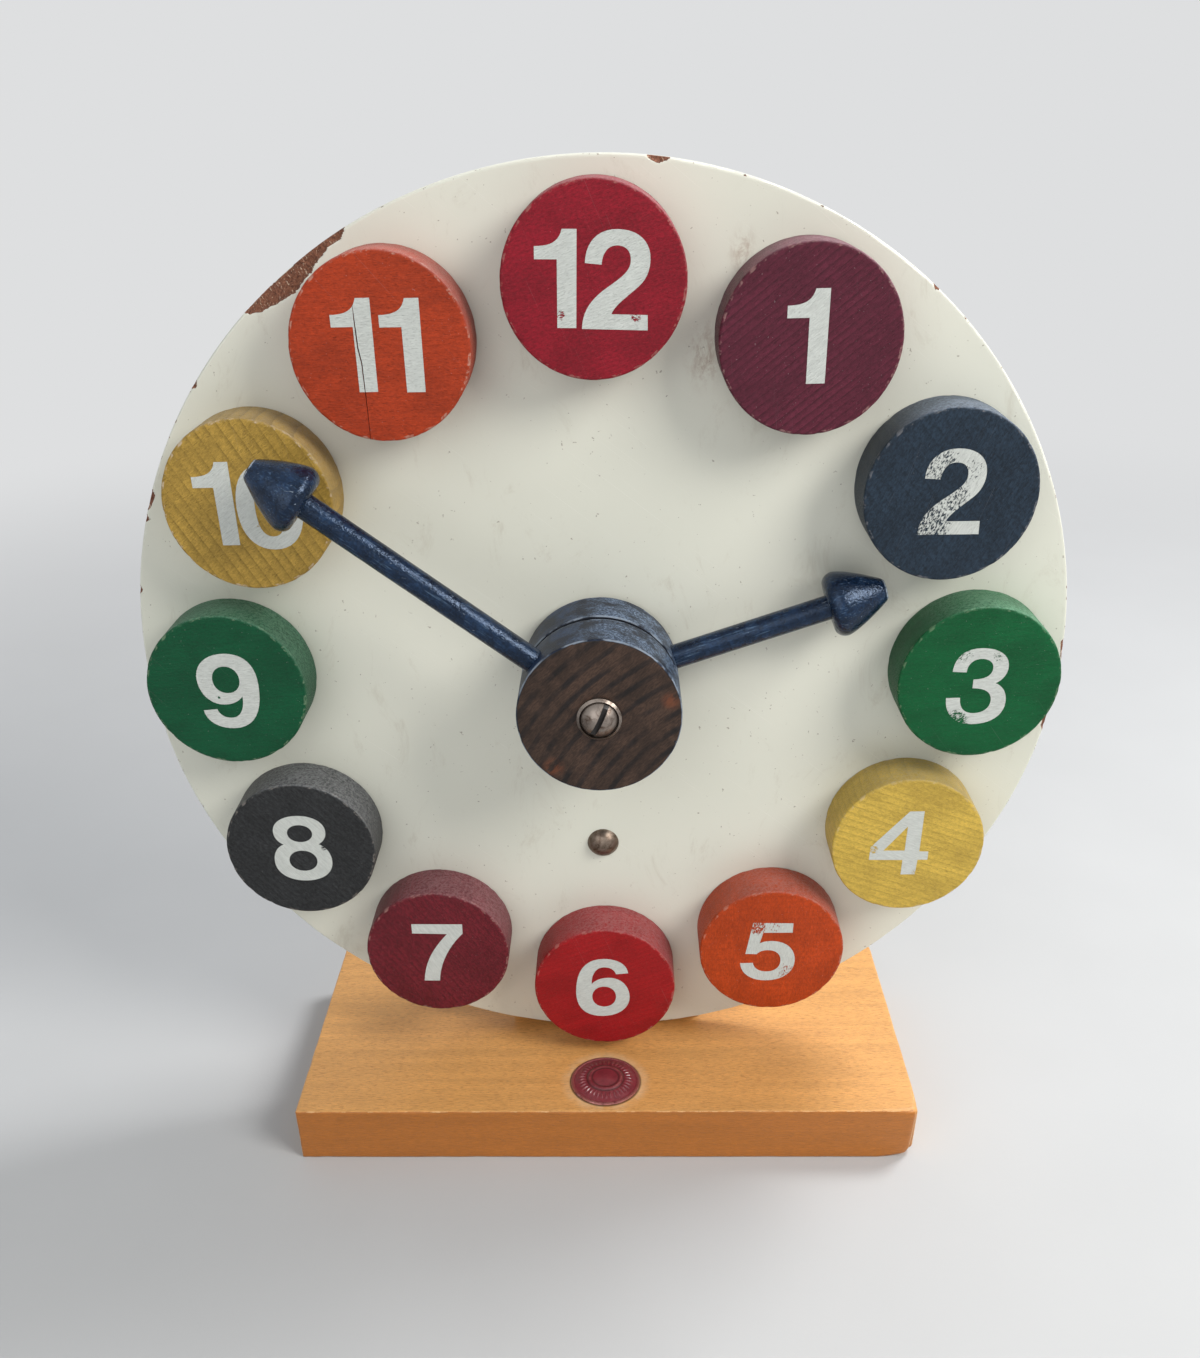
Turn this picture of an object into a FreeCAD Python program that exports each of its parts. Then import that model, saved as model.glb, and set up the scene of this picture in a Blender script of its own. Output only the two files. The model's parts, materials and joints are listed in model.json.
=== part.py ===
# Geared teaching clock: a round dial on a plank base, twelve number discs, two hands on
# turned hubs and the 12 to 1 gear train between the dial and its back post.
# Millimetres. Origin at the middle of the base's underside, +Z up, the dial faces -Y.
import FreeCAD, Part
import math
import os

import Sketcher

DIMENSIONS = {
    # base plank
    "base_width": 185.0,
    "base_thickness": 18.5,
    "base_edge_round": 1.2,
    # dial board and where it stands
    "dial_diameter": 250.0,
    "dial_thickness": 5.0,
    "dial_edge_round": 0.8,
    "dial_setback": 39.0,
    "dial_gap": 0.5,
    # number discs
    "number_disc_margin": 4.25,
    "number_disc_diameter": 42.5,
    "number_disc_thickness": 13.5,
    "number_disc_chamfer": 0.6,
    "disc_nail_diameter": 1.6,
    "disc_nail_head_diameter": 3.6,
    "disc_nail_head_thickness": 0.7,
    "disc_nail_grip": 8.0,
    # hubs and hands
    "hub_diameter": 42.0,
    "hub_thickness": 14.2,
    "hub_chamfer": 0.5,
    "rod_diameter": 6.4,
    "rod_hub_grip": 11.0,
    "rod_head_grip": 8.0,
    "minute_tip_past_ring": 2.7,
    "hour_tip_gap": 0.35,
    "arrowhead_length": 15.3,
    "arrowhead_diameter": 17.0,
    "arrowhead_base_diameter": 15.4,
    "arrowhead_belly_height": 3.6,
    "arrowhead_tip_diameter": 5.6,
    "arrowhead_tip_crown": 0.7,
    # clock angles of the hands from twelve, and of the screw slot
    "minute_hand_angle": 307.4,
    "hour_hand_angle": 71.4,
    "slot_angle": 25.0,
    # washers and play along the centre line
    "washer_thickness": 1.6,
    "dial_washer_diameter": 18.0,
    "hub_washer_diameter": 14.0,
    "end_float": 0.2,
    # arbor, sleeve and centre screw
    "arbor_diameter": 8.0,
    "arbor_hub_grip": 9.0,
    "arbor_inset": 1.0,
    "sleeve_wall": 2.0,
    "screw_diameter": 5.0,
    "screw_head_diameter": 10.0,
    "screw_head_height": 3.2,
    "screw_grip": 10.0,
    "screw_slot_width": 1.3,
    "screw_slot_depth": 1.6,
    "cup_washer_diameter": 11.4,
    "cup_washer_floor": 0.6,
    "cup_washer_height": 1.5,
    # gear train, as large as the room above the lower block lets it be
    "minute_pinion_teeth": 10,
    "intermediate_wheel_teeth": 30,
    "intermediate_pinion_teeth": 8,
    "hour_wheel_teeth": 32,
    "pressure_angle": 20.0,
    "addendum_share": 0.85,
    "profile_shift_share": 0.5,
    "root_clearance_share": 0.2,
    "tooth_backlash": 0.4,
    "wheel_thickness": 6.0,
    "wheel_gap": 0.8,
    # stud that carries the intermediate gears
    "stud_diameter": 6.0,
    "stud_head_diameter": 9.2,
    "stud_head_height": 3.0,
    "stud_end_length": 0.8,
    "stud_washer_diameter": 13.0,
    "stud_washer_thickness": 1.2,
    "stud_nut_width": 10.0,
    "stud_nut_thickness": 4.8,
    "gear_washer_diameter": 12.0,
    "gear_washer_thickness": 0.6,
    # back post and the two blocks between it and the dial
    "post_width": 60.0,
    "post_thickness": 16.0,
    "post_corner_round": 10.0,
    "post_edge_chamfer": 1.0,
    "post_setback": 7.6,
    "lower_block_height": 21.5,
    "upper_block_height": 20.0,
    "block_gap": 5.0,
    # wood screws
    "wood_screw_diameter": 3.6,
    "wood_screw_head_diameter": 7.2,
    "wood_screw_slot_width": 0.9,
    "wood_screw_slot_depth": 0.8,
    "wood_screw_inset": 0.4,
    "post_screw_spacing": 44.0,
    "post_screw_grip": 9.0,
    "base_screw_spacing": 24.0,
    "base_screw_grip": 12.0,
    # domed metal tack on the base
    "tack_diameter": 21.0,
    "tack_height": 2.0,
    "tack_rim_width": 1.0,
    "tack_rim_height": 0.7,
    "tack_spike_diameter": 1.8,
    "tack_spike_length": 9.0,
    "tack_setback": 13.0,
    # fits, and the length by which a cut runs past its wall
    "running_clearance": 0.05,
    "glue_clearance": 0.03,
    "loose_clearance": 0.3,
    "overrun": 1.0,
}

DIAL_Z = "(Sheet.base_thickness + Sheet.dial_gap + Sheet.dial_diameter / 2)"
BEHIND_DIAL = "(3 * Sheet.wheel_gap + 2 * Sheet.wheel_thickness + Sheet.post_thickness)"
BASE_DEPTH = f"(Sheet.dial_setback + Sheet.dial_thickness + {BEHIND_DIAL} + Sheet.post_setback)"
DIAL_FRONT = f"(Sheet.dial_setback - {BASE_DEPTH} / 2)"
DIAL_BACK = f"({DIAL_FRONT} + Sheet.dial_thickness)"
HOUR_HUB_REAR = f"({DIAL_FRONT} - Sheet.washer_thickness - Sheet.end_float)"
HOUR_HUB_FRONT = f"({HOUR_HUB_REAR} - Sheet.hub_thickness)"
MINUTE_HUB_REAR = f"({HOUR_HUB_FRONT} - Sheet.washer_thickness - Sheet.end_float)"
MINUTE_HUB_FRONT = f"({MINUTE_HUB_REAR} - Sheet.hub_thickness)"
HOUR_WHEEL_FRONT = f"({DIAL_BACK} + Sheet.wheel_gap)"
HOUR_WHEEL_REAR = f"({HOUR_WHEEL_FRONT} + Sheet.wheel_thickness)"
MIDDLE_WHEEL_FRONT = f"({HOUR_WHEEL_REAR} + Sheet.wheel_gap)"
MIDDLE_WHEEL_REAR = f"({MIDDLE_WHEEL_FRONT} + Sheet.wheel_thickness)"
POST_FRONT = f"({MIDDLE_WHEEL_REAR} + Sheet.wheel_gap)"
POST_BACK = f"({POST_FRONT} + Sheet.post_thickness)"
POST_MIDDLE = f"({POST_FRONT} + Sheet.post_thickness / 2)"
BLOCK_MIDDLE = f"(({DIAL_BACK} + {POST_FRONT}) / 2)"

NUMBER_RING = (
    "(Sheet.dial_diameter / 2 - Sheet.number_disc_margin - Sheet.number_disc_diameter / 2)"
)
MINUTE_REACH = f"({NUMBER_RING} + Sheet.minute_tip_past_ring)"
HOUR_REACH = f"({NUMBER_RING} - Sheet.number_disc_diameter / 2 - Sheet.hour_tip_gap)"

# The first pair reaches from the dial's centre down to the gap above the lower block, and
# the second pair has the same distance between its axes.
WHEEL_TIP = "(Sheet.addendum_share - Sheet.profile_shift_share)"
TRAIN_ROOM = (
    "(Sheet.dial_gap + Sheet.dial_diameter / 2 - Sheet.lower_block_height - Sheet.block_gap)"
)
TRAIN_MODULES = (
    f"(Sheet.minute_pinion_teeth / 2 + Sheet.intermediate_wheel_teeth + {WHEEL_TIP})"
)
FIRST_MODULE = f"({TRAIN_ROOM} / {TRAIN_MODULES})"
CENTRE_DISTANCE = (
    f"({FIRST_MODULE} * (Sheet.minute_pinion_teeth + Sheet.intermediate_wheel_teeth) / 2)"
)
SECOND_MODULE = (
    f"(2 * {CENTRE_DISTANCE}"
    " / (Sheet.intermediate_pinion_teeth + Sheet.hour_wheel_teeth))"
)
STUD_Z = f"({DIAL_Z} - {CENTRE_DISTANCE})"
HOUR_WHEEL_RADIUS = f"({SECOND_MODULE} * (Sheet.hour_wheel_teeth / 2 + {WHEEL_TIP}))"
LOWER_BLOCK_TOP = "(Sheet.base_thickness + Sheet.lower_block_height)"
UPPER_BLOCK_BOTTOM = f"({DIAL_Z} + {HOUR_WHEEL_RADIUS} + Sheet.block_gap)"
POST_TOP = f"({UPPER_BLOCK_BOTTOM} + Sheet.upper_block_height)"
POST_HEIGHT = f"({POST_TOP} - Sheet.base_thickness)"
TACK_Y = f"(Sheet.tack_setback - {BASE_DEPTH} / 2)"
LOWER_SCREW_Z = f"(({LOWER_BLOCK_TOP} + Sheet.base_thickness) / 2)"
UPPER_SCREW_Z = f"({UPPER_BLOCK_BOTTOM} + Sheet.upper_block_height / 2)"

ARBOR_BORE = "(Sheet.arbor_diameter / 2 + Sheet.running_clearance)"
SLEEVE_RADIUS = f"({ARBOR_BORE} + Sheet.sleeve_wall)"
ROD_SOCKET = "(Sheet.rod_diameter / 2 + Sheet.glue_clearance)"
NAIL_HOLE = "(Sheet.disc_nail_diameter / 2 + Sheet.glue_clearance)"
SCREW_HOLE = "(Sheet.screw_diameter / 2 + Sheet.glue_clearance)"
STUD_HOLE = "(Sheet.stud_diameter / 2 + Sheet.glue_clearance)"
WOOD_SCREW_HOLE = "(Sheet.wood_screw_diameter / 2 + Sheet.glue_clearance)"

doc = FreeCAD.newDocument("GearedTeachingClock")
sheet = doc.addObject("Spreadsheet::Sheet", "Sheet")
for row, (alias, value) in enumerate(DIMENSIONS.items(), start=1):
    sheet.set(f"A{row}", alias)
    sheet.set(f"B{row}", str(value))
    sheet.setAlias(f"B{row}", alias)
doc.recompute()

HOURS = 12
UP = FreeCAD.Vector(0, 0, 1)
ACROSS = FreeCAD.Vector(1, 0, 0)
DEEP = FreeCAD.Vector(0, 1, 0)
UPRIGHT = FreeCAD.Rotation()
FRONT_FACING = FreeCAD.Rotation(ACROSS, 90)

nodes = []


def number(text):
    """Value of an expression on the sheet."""
    return float(sheet.evalExpression(text))


def new_node(kind, label):
    """New sub-part, whose label names its file."""
    obj = doc.addObject(kind, label)
    obj.Label = label
    nodes.append(obj)
    return obj


def place(obj, x, y, z, turn=FRONT_FACING):
    """Stands an object at expressions x, y, z with a fixed turn."""
    obj.Placement = FreeCAD.Placement(FreeCAD.Vector(number(x), number(y), number(z)), turn)
    for axis, text in zip("xyz", (x, y, z)):
        obj.setExpression(f"Placement.Base.{axis}", text)


def origin_feature(body, role):
    """One of a body's own origin planes or axes."""
    return next(feature for feature in body.Origin.OriginFeatures if feature.Role == role)


def new_sketch(body, name, role, shift=("0", "0", "0")):
    """Sketch on an origin plane, moved by expressions along its own axes."""
    sketch = body.newObject("Sketcher::SketchObject", name)
    sketch.AttachmentSupport = (origin_feature(body, role), [""])
    sketch.MapMode = "FlatFace"
    for axis, text in zip("xyz", shift):
        if text != "0":
            sketch.setExpression(f"AttachmentOffset.Base.{axis}", text)
    return sketch


def bind(sketch, constraint, text):
    """Adds a dimension to a sketch and ties it to an expression."""
    index = sketch.addConstraint(constraint)
    sketch.setExpression(f"Constraints[{index}]", text)


def arc_between(start, end, radius, side):
    """Arc from start to end whose centre lies on the left (1) or right (-1) of the way."""
    chord = end - start
    half = chord.Length / 2
    sideways = FreeCAD.Vector(-chord.y, chord.x, 0).normalize() * side
    centre = (start + end) / 2 + sideways * math.sqrt(max(radius**2 - half**2, 0))
    first, last = (start, end) if side > 0 else (end, start)
    angles = [math.atan2(point.y - centre.y, point.x - centre.x) for point in (first, last)]
    return Part.ArcOfCircle(Part.Circle(centre, UP, radius), *angles)


def draw_outline(sketch, points, bows=None):
    """Closed outline through (x, y) expressions; bows maps a run to (radius, side)."""
    bows = bows or {}
    corners = [FreeCAD.Vector(number(x), number(y), 0) for x, y in points]
    ends = []
    for index, start in enumerate(corners):
        end = corners[(index + 1) % len(corners)]
        if index in bows:
            radius, side = bows[index]
            sketch.addGeometry(arc_between(start, end, number(radius), side))
            ends.append((1, 2) if side > 0 else (2, 1))
        else:
            sketch.addGeometry(Part.LineSegment(start, end))
            ends.append((1, 2))
    joins = []
    for index, (x, y) in enumerate(points):
        after = (index + 1) % len(points)
        joins.append(Sketcher.Constraint("Coincident", index, ends[index][1], after, ends[after][0]))
        if x == "0":
            joins.append(Sketcher.Constraint("PointOnObject", index, ends[index][0], -2))
        if y == "0":
            joins.append(Sketcher.Constraint("PointOnObject", index, ends[index][0], -1))
    sketch.addConstraint(joins)
    for index, (x, y) in enumerate(points):
        corner = corners[index]
        if x != "0":
            bind(sketch, Sketcher.Constraint("DistanceX", -1, 1, index, ends[index][0], corner.x), x)
        if y != "0":
            bind(sketch, Sketcher.Constraint("DistanceY", -1, 1, index, ends[index][0], corner.y), y)
    for index, (radius, side) in bows.items():
        bind(sketch, Sketcher.Constraint("Radius", index, number(radius)), radius)


def turned(label, points, bows=None):
    """Body turned about its own Z from a half outline of (radius, height)."""
    body = new_node("PartDesign::Body", label)
    sketch = new_sketch(body, f"{label}_half_outline", "XZ_Plane")
    draw_outline(sketch, points, bows)
    turning = body.newObject("PartDesign::Revolution", f"{label}_turning")
    turning.Profile = sketch
    turning.ReferenceAxis = (sketch, ["V_Axis"])
    turning.Angle = 360
    return body


def ring(label, inner, outer, height):
    """Plain ring or washer."""
    return turned(label, [(inner, "0"), (outer, "0"), (outer, height), (inner, height)])


def draw_circle(sketch, radius):
    """Circle round the sketch's own origin."""
    sketch.addGeometry(Part.Circle(FreeCAD.Vector(), UP, number(radius)))
    sketch.addConstraint(Sketcher.Constraint("Coincident", 0, 3, -1, 1))
    bind(sketch, Sketcher.Constraint("Radius", 0, number(radius)), radius)


def draw_rectangle(sketch, width, height, centred=False):
    """Rectangle centred across, and standing on the sketch's x axis or centred on it."""
    half = number(width) / 2
    bottom = -number(height) / 2 if centred else 0
    top = bottom + number(height)
    corners = [(-half, bottom), (half, bottom), (half, top), (-half, top)]
    points = [FreeCAD.Vector(x, y, 0) for x, y in corners]
    for index, start in enumerate(points):
        sketch.addGeometry(Part.LineSegment(start, points[(index + 1) % 4]))
    joins = [Sketcher.Constraint("Coincident", index, 2, (index + 1) % 4, 1) for index in range(4)]
    joins.append(Sketcher.Constraint("Vertical", 1))
    joins.append(Sketcher.Constraint("Horizontal", 2))
    if centred:
        joins.append(Sketcher.Constraint("Symmetric", 0, 1, 1, 2, -1, 1))
    else:
        joins.append(Sketcher.Constraint("PointOnObject", 0, 1, -1))
        joins.append(Sketcher.Constraint("Symmetric", 0, 1, 0, 2, -2))
    sketch.addConstraint(joins)
    bind(sketch, Sketcher.Constraint("DistanceX", 0, 1, 0, 2, number(width)), width)
    bind(sketch, Sketcher.Constraint("DistanceY", 1, 1, 1, 2, number(height)), height)


def pad(body, sketch, length):
    """Pad of a sketch by an expression."""
    feature = body.newObject("PartDesign::Pad", f"{sketch.Name}_pad")
    feature.Profile = sketch
    feature.setExpression("Length", length)
    return feature


def fillet(body, base, radius, chosen):
    """Fillet on the edges of a feature that pass a test."""
    doc.recompute()
    edges = enumerate(base.Shape.Edges, start=1)
    feature = body.newObject("PartDesign::Fillet", f"{base.Name}_fillet")
    feature.Base = (base, [f"Edge{index}" for index, edge in edges if chosen(edge)])
    feature.setExpression("Radius", radius)
    return feature


def round_top(body, base, height):
    """Rounds the two upper corners of an upright board."""
    top = number(height)

    def is_top_corner(edge):
        """Edge that runs through the board's thickness at its top."""
        first, last = edge.Vertexes
        return math.isclose(first.Y, top) and math.isclose(last.Y, top) and math.isclose(first.X, last.X)

    return fillet(body, base, "Sheet.post_corner_round", is_top_corner)


def pocket(body, sketch, depth, reverse=False):
    """Pocket of a sketch by an expression, which has to take material away."""
    doc.recompute()
    before = body.Shape.Volume
    feature = body.newObject("PartDesign::Pocket", f"{sketch.Name}_pocket")
    feature.Profile = sketch
    feature.setExpression("Length", depth)
    feature.Reversed = reverse
    doc.recompute()
    if not body.Shape.Volume < before:
        raise ValueError(f"{feature.Name} cuts nothing")
    return feature


def bore(body, name, role, shift, radius, depth, reverse=False):
    """Round hole from a plane, centred where the shift puts the sketch."""
    sketch = new_sketch(body, name, role, shift)
    draw_circle(sketch, radius)
    return pocket(body, sketch, depth, reverse)


def screw_seat(body, name, role, shift, depth):
    """Countersunk hole for a wood screw, drilled into the body from an origin plane."""
    sketch = new_sketch(body, name, role, shift)
    draw_circle(sketch, WOOD_SCREW_HOLE)
    doc.recompute()
    before = body.Shape.Volume
    hole = body.newObject("PartDesign::Hole", f"{name}_hole")
    hole.Profile = sketch
    doc.recompute()
    hole.DepthType = "Dimension"
    hole.DrillPoint = "Flat"
    hole.setExpression("Depth", depth)
    hole.setExpression("Diameter", f"2 * {WOOD_SCREW_HOLE}")
    hole.HoleCutType = "Countersink"
    hole.HoleCutCountersinkAngle = 90
    hole.setExpression(
        "HoleCutDiameter",
        "Sheet.wood_screw_head_diameter + 2 * (Sheet.wood_screw_inset + Sheet.glue_clearance)",
    )
    hole.Reversed = True
    doc.recompute()
    if not body.Shape.Volume < before:
        raise ValueError(f"{name} cuts nothing")
    return hole


def copies(pattern, placements):
    """Separate solids of one fastener, at each placement."""
    solids = []
    for placement in placements:
        solid = pattern.copy()
        solid.Placement = placement
        solids.append(solid)
    return Part.makeCompound(solids)


def spot(x, y, z, turn=FRONT_FACING):
    """Fixed placement from three expressions."""
    return FreeCAD.Placement(FreeCAD.Vector(number(x), number(y), number(z)), turn)


def hour_place(hour):
    """X and Z of a number disc on the dial."""
    angle = f"({hour} * 360 deg / {HOURS})"
    x = f"({NUMBER_RING} * sin({angle}))"
    z = f"({DIAL_Z} + {NUMBER_RING} * cos({angle}))"
    return x, z


# Dial board
def make_dial():
    """Round board with the centre bore, the stud hole and twelve nail holes."""
    radius = "Sheet.dial_diameter / 2"
    bore_radius = f"{SLEEVE_RADIUS} + Sheet.running_clearance"
    body = turned(
        "dial_panel",
        [
            (bore_radius, "0"),
            (radius, "0"),
            (radius, "Sheet.dial_thickness - Sheet.dial_edge_round"),
            (f"{radius} - Sheet.dial_edge_round", "Sheet.dial_thickness"),
            (bore_radius, "Sheet.dial_thickness"),
        ],
        {2: ("Sheet.dial_edge_round", 1)},
    )
    depth = "Sheet.dial_thickness + Sheet.overrun"
    bore(body, "dial_stud_hole", "XY_Plane", ("0", f"-{CENTRE_DISTANCE}", "0"), STUD_HOLE, depth, True)
    hole = bore(
        body,
        "dial_nail_hole",
        "XY_Plane",
        ("0", NUMBER_RING, "0"),
        NAIL_HOLE,
        depth,
        True,
    )
    pattern = body.newObject("PartDesign::PolarPattern", "dial_nail_holes")
    pattern.Originals = [hole]
    pattern.Axis = (origin_feature(body, "Z_Axis"), [""])
    pattern.Angle = 360
    pattern.Occurrences = HOURS
    body.Tip = pattern
    place(body, "0", DIAL_BACK, DIAL_Z)


# Number discs and the nails that hold them from behind
def make_number_disc(hour):
    """Disc sawn from round stock, its front edge chamfered, with a blind nail hole behind."""
    radius = "Sheet.number_disc_diameter / 2"
    height = "Sheet.number_disc_thickness"
    depth = "Sheet.disc_nail_grip + Sheet.loose_clearance"
    body = turned(
        f"number_disc_{hour}",
        [
            (NAIL_HOLE, "0"),
            (radius, "0"),
            (radius, f"{height} - Sheet.number_disc_chamfer"),
            (f"{radius} - Sheet.number_disc_chamfer", height),
            ("0", height),
            ("0", depth),
            (NAIL_HOLE, depth),
        ],
    )
    x, z = hour_place(hour)
    place(body, x, DIAL_FRONT, z)


def make_disc_nails():
    """Twelve flat-headed nails through the dial into the discs."""
    head = Part.makeCylinder(
        number("Sheet.disc_nail_head_diameter / 2"), number("Sheet.disc_nail_head_thickness")
    )
    length = "Sheet.disc_nail_head_thickness + Sheet.dial_thickness + Sheet.disc_nail_grip"
    shank = Part.makeCylinder(number("Sheet.disc_nail_diameter / 2"), number(length))
    nail = head.fuse(shank).removeSplitter()
    places = []
    for hour in range(1, HOURS + 1):
        x, z = hour_place(hour)
        places.append(spot(x, f"{DIAL_BACK} + Sheet.disc_nail_head_thickness", z))
    new_node("Part::Feature", "disc_nails").Shape = copies(nail, places)


# Base plank with the tack on its top
def make_base():
    """Plank with eased edges, countersunk from below, and a hole for the tack's spike."""
    body = new_node("PartDesign::Body", "base_plank")
    sketch = new_sketch(body, "base_outline", "XY_Plane")
    draw_rectangle(sketch, "Sheet.base_width", BASE_DEPTH, centred=True)
    plank = pad(body, sketch, "Sheet.base_thickness")
    fillet(body, plank, "Sheet.base_edge_round", lambda edge: True)
    depth = "Sheet.base_thickness + Sheet.overrun"
    for side in (-1, 1):
        x = f"{side} * Sheet.base_screw_spacing / 2"
        for place_name, y in (("post", POST_MIDDLE), ("block", BLOCK_MIDDLE)):
            name = f"base_{place_name}_seat_{'left' if side < 0 else 'right'}"
            screw_seat(body, name, "XY_Plane", (x, y, "0"), depth)
    bore(
        body,
        "base_spike_hole",
        "XY_Plane",
        ("0", TACK_Y, "Sheet.base_thickness"),
        "Sheet.tack_spike_diameter / 2 + Sheet.glue_clearance",
        "Sheet.tack_spike_length + Sheet.loose_clearance",
    )
    place(body, "0", "0", "0", UPRIGHT)


def make_tack():
    """Domed tack: rolled rim, low crown and a spike."""
    rim = "Sheet.tack_diameter / 2"
    crown_edge = f"({rim} - Sheet.tack_rim_width)"
    spike = "Sheet.tack_spike_diameter / 2"
    base = "Sheet.tack_spike_length"
    crown = "(Sheet.tack_height - Sheet.tack_rim_height)"
    rim_round = "(Sheet.tack_rim_width / 2)"
    body = turned(
        "badge_tack",
        [
            ("0", "0"),
            (spike, spike),
            (spike, base),
            (rim, base),
            (rim, f"{base} + Sheet.tack_rim_height - {rim_round}"),
            (f"{rim} - {rim_round}", f"{base} + Sheet.tack_rim_height"),
            (crown_edge, f"{base} + Sheet.tack_rim_height"),
            ("0", f"{base} + Sheet.tack_height"),
        ],
        {4: (rim_round, 1), 6: (f"({crown_edge}^2 + {crown}^2) / (2 * {crown})", 1)},
    )
    place(
        body,
        "0",
        TACK_Y,
        "Sheet.base_thickness - Sheet.tack_spike_length",
        UPRIGHT,
    )


# Back post and blocks
def make_post():
    """Upright plank behind the gears, with the bearings of both axes."""
    body = new_node("PartDesign::Body", "back_post")
    sketch = new_sketch(body, "post_outline", "XY_Plane")
    draw_rectangle(sketch, "Sheet.post_width", POST_HEIGHT)
    plank = pad(body, sketch, "Sheet.post_thickness")
    rounded = round_top(body, plank, POST_HEIGHT)
    doc.recompute()
    faces = rounded.Shape.Faces
    rear = min(range(len(faces)), key=lambda index: faces[index].CenterOfMass.z)
    easing = body.newObject("PartDesign::Chamfer", "post_easing")
    easing.Base = (rounded, [f"Face{rear + 1}"])
    easing.setExpression("Size", "Sheet.post_edge_chamfer")
    through = "Sheet.post_thickness + Sheet.overrun"
    arbor_height = f"{DIAL_Z} - Sheet.base_thickness"
    bore(body, "post_arbor_bore", "XY_Plane", ("0", arbor_height, "0"), ARBOR_BORE, through, True)
    stud_height = f"{STUD_Z} - Sheet.base_thickness"
    bore(body, "post_stud_hole", "XY_Plane", ("0", stud_height, "0"), STUD_HOLE, through, True)
    for side in (-1, 1):
        hand = "left" if side < 0 else "right"
        x = f"{side} * Sheet.post_screw_spacing / 2"
        for level, height in (("lower", LOWER_SCREW_Z), ("upper", UPPER_SCREW_Z)):
            shift = (x, f"{height} - Sheet.base_thickness", "0")
            screw_seat(body, f"post_{level}_seat_{hand}", "XY_Plane", shift, through)
        bore(
            body,
            f"post_foot_hole_{hand}",
            "XZ_Plane",
            (f"{side} * Sheet.base_screw_spacing / 2", "Sheet.post_thickness / 2", "0"),
            WOOD_SCREW_HOLE,
            "Sheet.base_screw_grip + Sheet.loose_clearance",
        )
    place(body, "0", POST_BACK, "Sheet.base_thickness")


def make_block(label, bottom, height, screw_height, on_base):
    """Spacer block between the post and the dial, on the base or under the post's top."""
    thickness = f"{POST_FRONT} - {DIAL_BACK}"
    body = new_node("PartDesign::Body", label)
    sketch = new_sketch(body, f"{label}_outline", "XY_Plane")
    draw_rectangle(sketch, "Sheet.post_width", height)
    block = pad(body, sketch, thickness)
    if not on_base:
        round_top(body, block, height)
    for side in (-1, 1):
        hand = "left" if side < 0 else "right"
        x = f"{side} * Sheet.post_screw_spacing / 2"
        bore(
            body,
            f"{label}_screw_hole_{hand}",
            "XY_Plane",
            (x, f"{screw_height} - {bottom}", "0"),
            WOOD_SCREW_HOLE,
            "Sheet.post_screw_grip + Sheet.loose_clearance",
            True,
        )
        if on_base:
            bore(
                body,
                f"{label}_foot_hole_{hand}",
                "XZ_Plane",
                (f"{side} * Sheet.base_screw_spacing / 2", f"({thickness}) / 2", "0"),
                WOOD_SCREW_HOLE,
                "Sheet.base_screw_grip + Sheet.loose_clearance",
            )
    place(body, "0", POST_FRONT, bottom)


def wood_screw(grip):
    """Slotted countersunk wood screw, head up at the origin, point along -Z."""
    head = number("Sheet.wood_screw_head_diameter / 2")
    shank = number("Sheet.wood_screw_diameter / 2")
    cone = head - shank
    tip = number(grip)
    profile = [
        (0, 0),
        (head, 0),
        (shank, -cone),
        (shank, shank - tip),
        (0, -tip),
    ]
    points = [FreeCAD.Vector(x, 0, z) for x, z in profile]
    outline = Part.makePolygon(points + points[:1])
    screw = Part.Face(outline).revolve(FreeCAD.Vector(), UP, 360)
    slot_width = number("Sheet.wood_screw_slot_width")
    slot_depth = number("Sheet.wood_screw_slot_depth")
    corner = FreeCAD.Vector(-head, -slot_width / 2, -slot_depth)
    slot = Part.makeBox(2 * head, slot_width, 2 * slot_depth, corner)
    return screw.cut(slot)


def make_wood_screws():
    """Four screws up through the base, four through the post into the blocks."""
    base_length = "Sheet.base_thickness + Sheet.base_screw_grip - Sheet.wood_screw_inset"
    post_length = "Sheet.post_thickness + Sheet.post_screw_grip - Sheet.wood_screw_inset"
    head_down = FreeCAD.Rotation(ACROSS, 180)
    head_back = FreeCAD.Rotation(ACROSS, -90)
    base_places = []
    post_places = []
    for side in (-1, 1):
        x = f"{side} * Sheet.base_screw_spacing / 2"
        for y in (POST_MIDDLE, BLOCK_MIDDLE):
            base_places.append(spot(x, y, "Sheet.wood_screw_inset", head_down))
        x = f"{side} * Sheet.post_screw_spacing / 2"
        for z in (LOWER_SCREW_Z, UPPER_SCREW_Z):
            post_places.append(spot(x, f"{POST_BACK} - Sheet.wood_screw_inset", z, head_back))
    for label, length, places in (
        ("base_screws", base_length, base_places),
        ("post_screws", post_length, post_places),
    ):
        new_node("Part::Feature", label).Shape = copies(wood_screw(length), places)


# Hubs, hands and the parts on the centre line
def make_hub(label, profile, rear, angle):
    """Turned hub with a radial socket for the hand's rod."""
    body = turned(label, profile)
    socket_floor = "Sheet.hub_diameter / 2 - Sheet.rod_hub_grip"
    bore(
        body,
        f"{label}_rod_socket",
        "XZ_Plane",
        ("0", "Sheet.hub_thickness / 2", f"-({socket_floor})"),
        ROD_SOCKET,
        "Sheet.rod_hub_grip + Sheet.overrun",
    )
    place(body, "0", rear, DIAL_Z, FreeCAD.Rotation(DEEP, number(angle)) * FRONT_FACING)


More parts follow.
